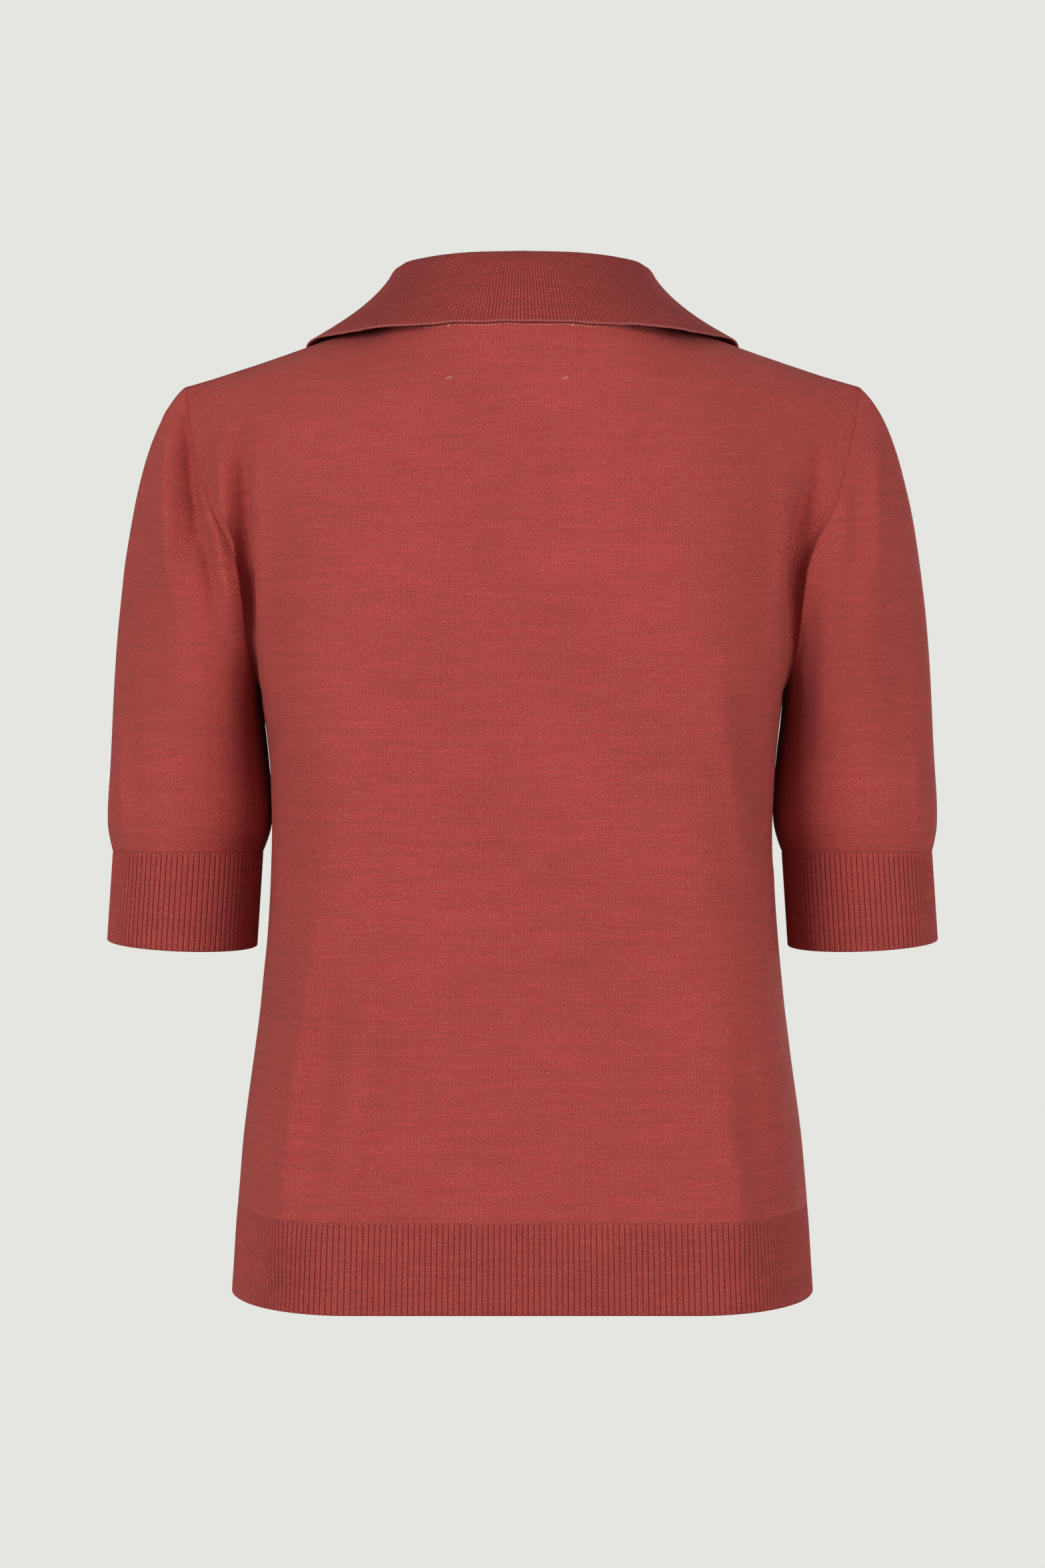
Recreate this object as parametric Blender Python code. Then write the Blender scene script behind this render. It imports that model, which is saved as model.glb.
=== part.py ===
"""Short-sleeved polo sweater in fine knit, worn shape with no wearer.

Frame: origin midway between the two high shoulder points, +Z up, the back of
the sweater towards -Y, the wearer's right towards +X.  Sizes are millimetres
and become metres where a mesh is filled.
"""

import bpy
import bmesh
import numpy as np
from mathutils import Vector
from mathutils.bvhtree import BVHTree

MM = 0.001

# driving sizes
WALL = 1.8
SEAM_GAP = 0.35
NECK_SEAM_GAP = 0.6
SHARP_ANGLE = 0.7
ROUGHNESS = 0.92
HEM_TOP = -486.0
HEM_BOTTOM = -532.0
UNDERARM_Z = -205.0
NECK_HALF_WIDTH = 80.0
BACK_NECK_DEPTH = 84.0
BACK_NECK_DROP = 10.5
BACK_NECK_ROUNDNESS = 0.84
BACK_NECK_DROP_EASE = 0.6
FRONT_NECK_LEANS = ((79.0, 40.0, -1.0), (46.0, 62.0, -62.0))
V_BASE = (0.0, 99.0, -130.0)
SHOULDER_POINT = (185.0, 0.0, -36.0)
SHOULDER_DIP = 1.6
CUFF_TOP = -292.0
CUFF_CENTRE = (184.6, 6.0)
CUFF_HALF_WIDTH = 41.4
CUFF_HALF_DEPTH = 46.0
CUFF_LENGTH = 50.6
CUFF_LEAN = (3.6, 3.6)
CUFF_BOTTOM_TILT = (4.0, 6.0)
SLEEVE_CLEARANCE = 0.9
COLLAR_CLEARANCE = 3.0
COLLAR_FRONT_CLEARANCE = 4.8
HEM_RIBS_A_SIDE = 156
CUFF_RIBS = 86
RIB_CREST = 2.2
RIB_DEPTH = 0.8
BUST_CENTRE = (72.0, -236.0)
BUST_SPREAD = (32.0, 48.0)
BUST_HEIGHT = 5.0

# shares of a sheet: a step for its slopes, and the margins where folds fade out
STEP = 0.004
SIDE_MARGIN = 0.06
TOP_MARGIN = 0.08
ARMHOLE_MARGIN = 0.05
ON_EDGE = 1e-6

# columns and rows of the sheets
NECK_COLUMNS = 6
SHOULDER_COLUMNS = 9
PANEL_LOW_ROWS = 7
PANEL_HIGH_ROWS = 12
SLEEVE_ROWS = 12
COLLAR_STEPS = 2
HEM_INNER_COLUMNS = 34
CUFF_INNER_COLUMNS = 30

# share of each half section that is its flat middle, and how oval its corner is
BACK_FLAT_SHARE, BACK_CORNER_RATIO = 0.385, 0.53
FRONT_FLAT_SHARE, FRONT_CORNER_RATIO = 0.193, 0.83
# share of the top edge that is neckline
NECK_SHARE = 0.38

# height, half width, back depth, back flat, front depth, front flat
BODY_SECTIONS = (
    (-532.0, 159.5, 110.0, 90.0, 100.0, 60.0),
    (-486.0, 156.4, 108.0, 89.0, 100.0, 58.0),
    (-440.0, 152.2, 104.5, 87.0, 101.0, 54.0),
    (-396.0, 146.3, 101.5, 85.0, 103.5, 50.0),
    (-352.0, 141.3, 100.5, 84.0, 109.0, 46.0),
    (-308.0, 138.2, 101.5, 83.0, 116.0, 43.0),
    (-249.0, 138.4, 104.5, 83.0, 121.0, 41.0),
    (-205.0, 143.0, 106.5, 84.0, 119.0, 42.0),
)

# height, back edge x and y, front edge x and y
ARMHOLE = (
    (-205.0, 143.0, 0.0, 143.0, 0.0),
    (-201.0, 144.6, -18.0, 144.2, 18.0),
    (-192.0, 146.5, -32.0, 145.6, 32.0),
    (-175.0, 149.0, -44.0, 147.4, 44.0),
    (-152.0, 151.2, -50.0, 149.4, 49.0),
    (-138.0, 153.4, -51.0, 151.6, 49.0),
    (-127.0, 157.2, -50.0, 154.8, 47.5),
    (-104.0, 169.0, -45.0, 164.5, 41.0),
    (-81.0, 176.0, -34.5, 173.0, 31.0),
    (-60.0, 181.3, -20.5, 180.0, 18.5),
    (-46.0, 184.2, -8.5, 184.0, 8.0),
    (-36.0, 185.0, 0.0, 185.0, 0.0),
)

# share from the centre to the armhole, and the lean of the cloth as it
# leaves the top edge: sideways, backwards and down
BACK_TOP_LEAN = (
    (0.00, 0.0, 16.0, -48.0),
    (0.10, 0.0, 22.0, -35.0),
    (0.20, 2.0, 39.0, -18.0),
    (0.30, 7.0, 65.0, -11.0),
    (0.38, 14.0, 93.0, -13.0),
    (0.60, 7.0, 95.0, -11.0),
    (0.80, 2.0, 76.0, -12.0),
    (1.00, -1.0, 22.0, -22.0),
)
FRONT_TOP_LEAN = (
    (0.00, 0.0, 9.0, -24.0),
    (0.10, 0.0, 15.0, -30.0),
    (0.22, 3.0, 30.0, -32.0),
    (0.38, 12.0, 66.0, -13.0),
    (0.60, 6.0, 68.0, -10.0),
    (0.80, 2.0, 56.0, -11.0),
    (1.00, -1.0, 20.0, -22.0),
)
# length of the cloth's lean as it rises from the underarm line, the height
# that sets its direction, and how sharply the armhole draws the panel's side
LOW_LEAN = 72.0
SECTION_STEP = 4.0
ARMHOLE_REACH = 9.0
SEAM_FALL = -0.3

# fold, side (-1 back, 1 front), start x and z, end x and z, half width, height
PANEL_FOLDS = (
    ("left_long_ridge", -1, -118.0, -350.0, -132.0, -486.0, 7.0, 1.8),
    ("left_long_trough", -1, -103.0, -375.0, -116.0, -480.0, 9.0, -2.0),
    ("left_inner_ridge", -1, -92.0, -330.0, -104.0, -484.0, 10.0, 1.4),
    ("right_short_ridge", -1, 113.0, -395.0, 120.0, -484.0, 7.0, 1.5),
    ("right_side_trough", -1, 128.0, -345.0, 134.0, -470.0, 8.0, -1.5),
    ("left_underarm_crease", -1, -153.0, -98.0, -149.0, -190.0, 7.0, -4.5),
    ("right_underarm_crease", -1, 154.0, -104.0, 149.0, -190.0, 7.0, -4.5),
    ("left_bust_drape", 1, -92.0, -262.0, -112.0, -470.0, 12.0, 2.2),
    ("right_bust_drape", 1, 88.0, -262.0, 104.0, -482.0, 12.0, 2.4),
    ("left_front_trough", 1, -62.0, -330.0, -74.0, -476.0, 13.0, -1.8),
    ("right_front_trough", 1, 58.0, -350.0, 66.0, -478.0, 13.0, -1.6),
    ("left_front_crease", 1, -147.0, -120.0, -140.0, -196.0, 8.0, -3.5),
    ("right_front_crease", 1, 148.0, -116.0, 141.0, -196.0, 8.0, -3.5),
)

# share round the sleeve from the underarm over the back, and the cloth's
# lean as it leaves the armhole and as it reaches the cuff
SLEEVE_LEAN = (
    (0.00, -1.0, 1.0, -24.0, -7.0, 0.0, 34.0),
    (0.12, 9.0, -9.0, -34.0, -4.5, -4.0, 44.0),
    (0.25, 17.0, -11.0, -44.0, 0.0, -7.0, 62.0),
    (0.38, 27.0, -9.0, -48.0, 1.6, -5.0, 82.0),
    (0.50, 35.0, 0.0, -27.0, 3.4, 0.0, 93.0),
    (0.62, 27.0, 9.0, -48.0, 1.6, 5.0, 82.0),
    (0.75, 17.0, 11.0, -44.0, 0.0, 7.0, 62.0),
    (0.88, 9.0, 9.0, -34.0, -4.5, 4.0, 44.0),
    (1.00, -1.0, 1.0, -24.0, -7.0, 0.0, 34.0),
)
# the sleeve's fullness just above the cuff: swell, height it is widest at,
# how far it reaches up and how soon it starts
BLOUSE_HEIGHT = 2.8
BLOUSE_CENTRE = 10.0
BLOUSE_REACH = 30.0
BLOUSE_START = 6.0
FOLD_TAPER = 0.8

# fold, side (-1 back, 1 front), start x and z, end x and z, half width, height
SLEEVE_FOLDS = (
    ("seam_trough_back", -1, 187.0, -52.0, 160.0, -158.0, 7.0, -2.6),
    ("long_ridge_back", -1, 180.0, -110.0, 168.0, -228.0, 11.0, 1.8),
    ("outer_trough_back", -1, 205.0, -120.0, 192.0, -245.0, 9.0, -1.6),
    ("seam_trough_front", 1, 184.0, -58.0, 158.0, -150.0, 7.0, -2.4),
    ("long_ridge_front", 1, 182.0, -118.0, 170.0, -240.0, 12.0, 1.8),
)

# share along the neckline from the centre back to the base of the V, the
# fold's x, y, z, the outer edge's x, y, z, the radius of the roll, and how
# far the fall sags towards the shoulder
COLLAR_STATIONS = (
    (0.00, 0.0, -70.0, 27.3, 0.0, -95.5, -10.4, 4.2, 0.0),
    (0.14, 30.0, -66.0, 28.0, 44.0, -88.5, -10.8, 4.2, 0.0),
    (0.26, 51.0, -49.0, 28.6, 71.0, -75.5, -12.0, 4.2, 2.0),
    (0.36, 62.5, -24.0, 28.4, 96.0, -48.0, -13.6, 4.0, 5.0),
    (0.42, 65.5, -2.0, 26.0, 116.0, -5.0, -10.5, 4.0, 6.5),
    (0.52, 64.0, 22.0, 14.5, 119.0, 32.0, -23.0, 3.8, 5.0),
    (0.66, 54.0, 48.0, -13.0, 110.0, 60.0, -50.0, 3.6, 3.0),
    (0.82, 33.0, 76.0, -62.0, 93.0, 80.0, -81.0, 3.0, 2.0),
    (1.00, 4.4, 105.5, -126.0, 76.0, 94.0, -107.0, 2.6, 0.0),
)
# the same stations, run on a little past the centre back to the other hand
MIRRORED_STATIONS = tuple(
    (-key, -fold_x, fold_y, fold_z, -edge_x, *rest)
    for key, fold_x, fold_y, fold_z, edge_x, *rest in COLLAR_STATIONS[2:0:-1]
) + COLLAR_STATIONS
# share of the neckline at the high shoulder point
NECK_TURN = 0.42
COLLAR_END = 0.988
COLLAR_END_GAP = 1.6
STAND_STEPS = 3
ROLL_STEPS = 4
FALL_STEPS = 6
# leans of the stand and the fall as shares of their own lengths
STAND_LEANS = (0.3, 0.35)
FALL_LEANS = (0.22, 0.35)
# shares of the neckline between which the clearance under the fall grows
CLEARANCE_TURN = (0.45, 0.6)

KNIT = (0.405, 0.067, 0.058, 1.0)
RIB = (0.285, 0.047, 0.042, 1.0)


def smooth_rows(table, at):
    """Values of a table's columns at the keys given, on a smooth curve."""
    rows = np.array(table, dtype=float)
    keys, values = rows[:, 0], rows[:, 1:]
    steps = np.diff(keys)[:, None]
    slopes = np.diff(values, axis=0) / steps
    bends = np.empty_like(values)
    bends[0], bends[-1] = slopes[0], slopes[-1]
    weight = steps[1:] / (steps[1:] + steps[:-1])
    bends[1:-1] = slopes[:-1] * weight + slopes[1:] * (1.0 - weight)
    at = np.clip(np.asarray(at, dtype=float), keys[0], keys[-1])
    cell = np.clip(np.searchsorted(keys, at, side="right") - 1, 0, len(keys) - 2)
    span = steps[cell]
    t = (at - keys[cell])[:, None] / span
    return (
        values[cell] * (1.0 + 2.0 * t) * (1.0 - t) ** 2
        + bends[cell] * span * t * (1.0 - t) ** 2
        + values[cell + 1] * t * t * (3.0 - 2.0 * t)
        - bends[cell + 1] * span * t * t * (1.0 - t)
    )


def bezier(p0, p1, p2, p3, t):
    t = t[:, None]
    r = 1.0 - t
    return p0 * r**3 + 3.0 * p1 * r * r * t + 3.0 * p2 * r * t * t + p3 * t**3


def unit(v):
    return v / np.maximum(np.linalg.norm(v, axis=1, keepdims=True), 1e-9)


def surface_normals(place, u, v, closed=False):
    """Outward normals of a placed sheet, from small steps either way on it."""
    after = (u + STEP) % 1.0 if closed else np.clip(u + STEP, 0, 1)
    before = (u - STEP) % 1.0 if closed else np.clip(u - STEP, 0, 1)
    du = place(after, v) - place(before, v)
    dv = place(u, np.clip(v + STEP, 0, 1)) - place(u, np.clip(v - STEP, 0, 1))
    return unit(np.cross(du, dv))


def across_seam(normal, seam, toward):
    """The normal, no longer leaning away from the neighbour across a seam."""
    lean = np.sum(normal * seam, axis=1, keepdims=True)
    kept = np.minimum(lean, 0.0) if toward > 0 else np.maximum(lean, 0.0)
    return unit(normal - seam * kept)


def corner_angle(share, ratio):
    """Angle round an oval corner after a share of its length."""
    angles = np.linspace(0.0, np.pi / 2, 61)
    speed = np.hypot(ratio * np.cos(angles), np.sin(angles))
    length = np.concatenate(([0.0], np.cumsum((speed[1:] + speed[:-1]) / 2)))
    return np.interp(share, length / length[-1], angles)


def body_section(side, share, z):
    """Point of the body's level section; share runs from -1 to 1 across."""
    half_width, back_depth, back_flat, front_depth, front_flat = smooth_rows(BODY_SECTIONS, z).T
    if side < 0:
        depth, flat = back_depth, back_flat
        flat_share, ratio = BACK_FLAT_SHARE, BACK_CORNER_RATIO
    else:
        depth, flat = front_depth, front_flat
        flat_share, ratio = FRONT_FLAT_SHARE, FRONT_CORNER_RATIO
    out = np.abs(share)
    angle = corner_angle(np.clip((out - flat_share) / (1 - flat_share), 0, 1), ratio)
    x = flat * np.clip(out / flat_share, 0, 1) + (half_width - flat) * np.sin(angle)
    y = side * np.maximum(depth * np.cos(angle), SEAM_GAP / 2)
    if side > 0:
        y = y + bust(x, z)
    return np.stack([x * np.sign(share), y, z], axis=1)


def bust(x, z):
    """How far the front stands forward over the fullest part of the chest."""
    across = (x - BUST_CENTRE[0]) / BUST_SPREAD[0]
    along = (z - BUST_CENTRE[1]) / BUST_SPREAD[1]
    return BUST_HEIGHT * np.exp(-(across**2) - along**2)


def body_side_x(y, z):
    """How far out the body reaches at a depth and height below the armhole."""
    half_width, back_depth, back_flat, front_depth, front_flat = smooth_rows(BODY_SECTIONS, z).T
    depth = np.where(y < 0, back_depth, front_depth)
    flat = np.where(y < 0, back_flat, front_flat)
    return flat + (half_width - flat) * np.sqrt(np.clip(1 - (y / depth) ** 2, 0, 1))


def back_neckline(share):
    """Centre back (0) to the high shoulder point (1)."""
    angle = corner_angle(share, 1.0)
    x = NECK_HALF_WIDTH * np.sin(angle) ** BACK_NECK_ROUNDNESS
    y = -BACK_NECK_DEPTH * np.cos(angle) ** BACK_NECK_ROUNDNESS
    z = -BACK_NECK_DROP * (np.abs(y) / BACK_NECK_DEPTH) ** BACK_NECK_DROP_EASE
    return np.stack([x, y, z], axis=1)


def front_neckline(share):
    """High shoulder point (0) to the base of the V (1)."""
    over, down = np.array(FRONT_NECK_LEANS)
    return bezier(np.array([NECK_HALF_WIDTH, 0.0, 0.0]), over, down, np.array(V_BASE), share)


def shoulder_seam(share):
    """High shoulder point (0) to the shoulder point (1)."""
    start = np.array([NECK_HALF_WIDTH, 0.0, 0.0])
    end = np.array(SHOULDER_POINT)
    seam = start + (end - start) * share[:, None]
    seam[:, 2] -= SHOULDER_DIP * 4.0 * share * (1.0 - share)
    return seam


def top_edge(side, out):
    neck = np.clip(out / NECK_SHARE, 0, 1)
    along_neck = back_neckline(neck) if side < 0 else front_neckline(1.0 - neck)
    along_shoulder = shoulder_seam(np.clip((out - NECK_SHARE) / (1 - NECK_SHARE), 0, 1))
    edge = np.where((out < NECK_SHARE)[:, None], along_neck, along_shoulder)
    edge[:, 1] = side * np.maximum(np.abs(edge[:, 1]), SEAM_GAP / 2)
    return edge


def armhole_edge(side, z):
    """Point of the panel's armhole edge at a height."""
    back_x, back_y, front_x, front_y = smooth_rows(ARMHOLE, z).T
    x, y = (back_x, back_y) if side < 0 else (front_x, front_y)
    return np.stack([x, side * np.maximum(np.abs(y), SEAM_GAP / 2), z], axis=1)


def rising_line(side, out, rise):
    """Line of the cloth from the underarm level up to the top edge."""
    low = body_section(side, out, np.full_like(out, UNDERARM_Z))
    below = body_section(side, out, np.full_like(out, UNDERARM_Z - SECTION_STEP))
    top = top_edge(side, out)
    lean = smooth_rows(BACK_TOP_LEAN if side < 0 else FRONT_TOP_LEAN, out)
    lean = lean * np.array([1.0, side, 1.0])
    reach = np.minimum(LOW_LEAN, np.linalg.norm(top - low, axis=1) / 3.0)[:, None]
    return bezier(low, low + unit(low - below) * reach, top + lean, top, rise)


def upper_body(side, share, rise):
    """Body above the underarm; rise runs from the underarm (0) to the top edge (1)."""
    out = np.abs(share)
    points = rising_line(side, out, rise)
    at_side = rising_line(side, np.ones_like(out), rise)
    drawn = armhole_edge(side, at_side[:, 2]) - at_side
    points = points + drawn * (out**ARMHOLE_REACH)[:, None]
    points[:, 0] *= np.sign(share)
    points[:, 1] = side * np.maximum(side * points[:, 1], SEAM_GAP / 2)
    return points


def fold_height(folds, side, points):
    """How far the named folds lift or sink the cloth at each point."""
    height = np.zeros(len(points))
    for _, fold_side, x0, z0, x1, z1, half_width, lift in folds:
        if fold_side != side:
            continue
        run = np.array([x1 - x0, z1 - z0])
        length = np.hypot(*run)
        offset = points[:, [0, 2]] - np.array([x0, z0])
        along = offset @ run / length**2
        across = (offset[:, 0] * run[1] - offset[:, 1] * run[0]) / length
        taper = np.sin(np.pi * np.clip(along, 0, 1)) ** FOLD_TAPER
        height += lift * taper * np.exp(-((across / half_width) ** 2))
    return height


def column_share(u):
    """Share across the panel of a column; the high shoulder points fall on columns."""
    half = NECK_COLUMNS + SHOULDER_COLUMNS
    out = np.abs(2.0 * u - 1.0) * half
    share = np.interp(out, (0, NECK_COLUMNS, half), (0.0, NECK_SHARE, 1.0))
    return share * np.sign(u - 0.5)


def gap_direction(tangent):
    """Across the armhole seam, from the body to the sleeve."""
    outward = np.array([[1.0, 0.0, SEAM_FALL]])
    return unit(outward - tangent * np.sum(outward * tangent, axis=1, keepdims=True))


def panel_place(side):
    """Sheet of the back or front panel: u across, v up from the hem band."""
    low_share = PANEL_LOW_ROWS / (PANEL_LOW_ROWS + PANEL_HIGH_ROWS)

    def plain(u, v):
        share = column_share(u)
        up = np.clip(v / low_share, 0, 1)
        z = HEM_TOP + SEAM_GAP / 2 + (UNDERARM_Z - HEM_TOP - SEAM_GAP / 2) * up
        lower = body_section(side, share, z)
        upper = upper_body(side, share, np.clip((v - low_share) / (1 - low_share), 0, 1))
        return np.where((v <= low_share)[:, None], lower, upper)

    def place(u, v):
        points = plain(u, v)
        normals = surface_normals(plain, u, v) * -side
        share = column_share(u)
        out = np.abs(share)
        at_side = out > 1.0 - ON_EDGE
        at_armhole = at_side & (v > low_share + ON_EDGE)
        at_shoulder = (v > 1.0 - ON_EDGE) & (out > NECK_SHARE - ON_EDGE)
        normals[at_side & ~at_armhole, 1] = 0.0
        run = SHOULDER_POINT[0] - NECK_HALF_WIDTH
        tilt = -SHOULDER_POINT[2] * np.sign(share[at_shoulder])
        normals[at_shoulder] = np.stack([tilt, tilt * 0, tilt * 0 + run], axis=1)
        above, below = np.clip(v + STEP, 0, 1), np.clip(v - STEP, low_share, 1)
        tangent = unit(plain(u, above) - plain(u, below))
        mirror = np.where(share < 0, -1.0, 1.0)[:, None] ** np.array([1, 0, 0])
        seam = gap_direction(tangent * mirror) * mirror
        normals = np.where(at_armhole[:, None], across_seam(normals, seam, 1), unit(normals))
        near_edge = np.clip((1.0 - out) / SIDE_MARGIN, 0, 1)
        near_top = np.clip((1.0 - v) / TOP_MARGIN, 0, 1)
        height = fold_height(PANEL_FOLDS, side, points) * near_edge * near_top
        return points + normals * height[:, None], normals

    return place


def armhole_loop(share):
    """Closed loop from the underarm (0) over the back, shoulder point and front.

    Its corners are the panels' own points along the armhole.
    """
    rises = np.linspace(0, 1, PANEL_HIGH_ROWS + 1)
    one = np.ones_like(rises)
    back = upper_body(-1, one, rises)
    front = upper_body(1, one, rises)[::-1]
    back[[0, -1], 1] = 0.0
    loop = np.concatenate([back, front[1:]])
    loop[-1, 1] = 0.0
    keys = np.linspace(0, 1, len(loop))
    ahead = np.roll(loop[:-1], -1, axis=0)
    behind = np.roll(loop[:-1], 1, axis=0)
    tangents = unit(ahead - behind)
    tangents = np.concatenate([tangents, tangents[:1]])
    points = np.stack([np.interp(share, keys, loop[:, k]) for k in range(3)], axis=1)
    runs = np.stack([np.interp(share, keys, tangents[:, k]) for k in range(3)], axis=1)
    return points, gap_direction(unit(runs))


def cuff_ring(share, fall):
    """Ring of the cuff; fall runs from its top (0) to its bottom edge (1)."""
    angle = 2.0 * np.pi * share
    inward, back = np.cos(angle), np.sin(angle)
    x = CUFF_CENTRE[0] + CUFF_LEAN[0] * fall - CUFF_HALF_WIDTH * inward
    y = CUFF_CENTRE[1] + CUFF_LEAN[1] * fall - CUFF_HALF_DEPTH * back
    tilt = CUFF_BOTTOM_TILT[0] * inward + CUFF_BOTTOM_TILT[1] * back
    z = CUFF_TOP - fall * (CUFF_LENGTH + 0.5 * tilt)
    return np.stack([x, y, z], axis=1)


def sleeve_place(hand):
    """Sheet of a sleeve: u round from the underarm, v down to the cuff."""

    def plain(u, v):
        start, seam = armhole_loop(u)
        start = start + seam * SEAM_GAP
        end = cuff_ring(u, np.zeros_like(u))
        lean = smooth_rows(SLEEVE_LEAN, u)
        points = bezier(start, start + lean[:, :3], end + lean[:, 3:], end, v)
        outward = unit(points[:, :2] - np.array(CUFF_CENTRE))
        above = points[:, 2] - CUFF_TOP
        reach = np.exp(-(((above - BLOUSE_CENTRE) / BLOUSE_REACH) ** 2))
        swell = BLOUSE_HEIGHT * np.clip(above / BLOUSE_START, 0, 1) * reach
        points[:, :2] += outward * swell[:, None]
        clear = body_side_x(points[:, 1], np.minimum(points[:, 2], UNDERARM_Z)) + SLEEVE_CLEARANCE
        under = points[:, 2] < UNDERARM_Z - WALL
        points[:, 0] = np.where(under, np.maximum(points[:, 0], clear), points[:, 0])
        return points

    def place(u, v):
        points = plain(u, v)
        normals = -surface_normals(plain, u, v, closed=True)
        _, seam = armhole_loop(u)
        level = unit(normals * np.array([1, 1, 0]))
        normals = np.where((v < ON_EDGE)[:, None], across_seam(normals, seam, -1), normals)
        normals = np.where((v > 1 - ON_EDGE)[:, None], level, normals)
        fade = np.clip(v / ARMHOLE_MARGIN, 0, 1) * np.clip((1.0 - v) / TOP_MARGIN, 0, 1)
        back = fold_height(SLEEVE_FOLDS, -1, points) * (points[:, 1] < 0)
        front = fold_height(SLEEVE_FOLDS, 1, points) * (points[:, 1] > 0)
        points = points + normals * ((back + front) * fade)[:, None]
        flip = np.array([hand, 1.0, 1.0])
        return points * flip, normals * flip

    return place


def neckline_share(u):
    """Share along the neckline of a collar column; it turns at the high shoulder point."""
    share = np.interp(np.abs(2.0 * u - 1.0), (0.0, 0.5, 1.0), (0.0, NECK_TURN, 1.0))
    return np.minimum(share, COLLAR_END)


def collar_place(panels):
    """Sheet of the collar: u from one end of the V round the neck, v from seam to edge."""
    half = 2 * (NECK_COLUMNS + SHOULDER_COLUMNS)
    columns = 0.5 + np.arange(NECK_COLUMNS + 1) / half
    back, back_normals = panels[-1](columns, np.ones_like(columns))
    front, front_normals = panels[1](columns[::-1], np.ones_like(columns))
    back[-1, 1] = 0.0
    edge_points = np.concatenate([back, front[1:]])
    edge_normals = np.concatenate([back_normals, front_normals[1:]])
    keys = np.concatenate(
        [
            np.linspace(0, NECK_TURN, NECK_COLUMNS + 1),
            np.linspace(NECK_TURN, 1, NECK_COLUMNS + 1)[1:],
        ]
    )

    def seam(share):
        points = [np.interp(share, keys, edge_points[:, k]) for k in range(3)]
        normals = [np.interp(share, keys, edge_normals[:, k]) for k in range(3)]
        return np.stack(points, axis=1), unit(np.stack(normals, axis=1))

    def place(u, v):
        share = neckline_share(u)
        hand = np.where(u < 0.5, -1.0, 1.0)
        base, normal = seam(share)
        ahead, _ = seam(np.clip(share + 5 * STEP, 0, 1))
        behind, _ = seam(np.clip(share - 5 * STEP, 0, 1))
        inward = unit(np.cross(normal, unit(ahead - behind)))
        station = smooth_rows(MIRRORED_STATIONS, share)
        fold, edge, roll, sag = station[:, :3], station[:, 3:6], station[:, 6:7], station[:, 7:8]
        base = base - normal * (WALL / 2) + inward * NECK_SEAM_GAP
        rise = unit(fold - base)
        fall_run = edge - fold
        out = unit(fall_run - rise * np.sum(fall_run * rise, axis=1, keepdims=True))
        shoulder_in = fold - (out + rise) * roll
        shoulder_out = fold + (out - rise) * roll
        stand_length = np.linalg.norm(shoulder_in - base, axis=1, keepdims=True)
        steps = STAND_STEPS + ROLL_STEPS + FALL_STEPS
        s = v * steps
        stand = bezier(
            base,
            base + inward * stand_length * STAND_LEANS[0],
            shoulder_in - rise * stand_length * STAND_LEANS[1],
            shoulder_in,
            np.clip(s / STAND_STEPS, 0, 1),
        )
        angle = np.pi * np.clip((s - STAND_STEPS) / ROLL_STEPS, 0, 1)[:, None]
        roll_arc = fold - rise * roll - out * roll * np.cos(angle) + rise * roll * np.sin(angle)
        fall_length = np.linalg.norm(edge - shoulder_out, axis=1, keepdims=True)
        chord = (edge - shoulder_out) / fall_length
        face = unit(out - chord * np.sum(out * chord, axis=1, keepdims=True))
        fall = bezier(
            shoulder_out,
            shoulder_out - rise * fall_length * FALL_LEANS[0],
            edge - chord * fall_length * FALL_LEANS[1] - face * sag,
            edge,
            np.clip((s - STAND_STEPS - ROLL_STEPS) / FALL_STEPS, 0, 1),
        )
        points = np.where((s <= STAND_STEPS)[:, None], stand, roll_arc)
        points = np.where((s > STAND_STEPS + ROLL_STEPS)[:, None], fall, points)
        points[:, 0] = np.maximum(points[:, 0], COLLAR_END_GAP * (share > 0.5))
        points[:, 0] *= hand
        return points

    def seam_normals(u):
        _, normals = seam(neckline_share(u))
        normals[:, 0] *= np.where(u < 0.5, -1.0, 1.0)
        return normals

    place.seam_normals = seam_normals
    return place


def new_object(name, bm, colour):
    mesh = bpy.data.meshes.new(name)
    bm.to_mesh(mesh)
    bm.free()
    mesh.shade_smooth()
    mesh.set_sharp_from_angle(angle=SHARP_ANGLE)
    obj = bpy.data.objects.new(name, mesh)
    sweater.objects.link(obj)
    material = bpy.data.materials.new(name + "_knit")
    material.use_nodes = True
    shader = material.node_tree.nodes["Principled BSDF"]
    shader.inputs["Base Color"].default_value = colour
    shader.inputs["Roughness"].default_value = ROUGHNESS
    shader.inputs["Metallic"].default_value = 0.0
    mesh.materials.append(material)
    return obj


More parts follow.
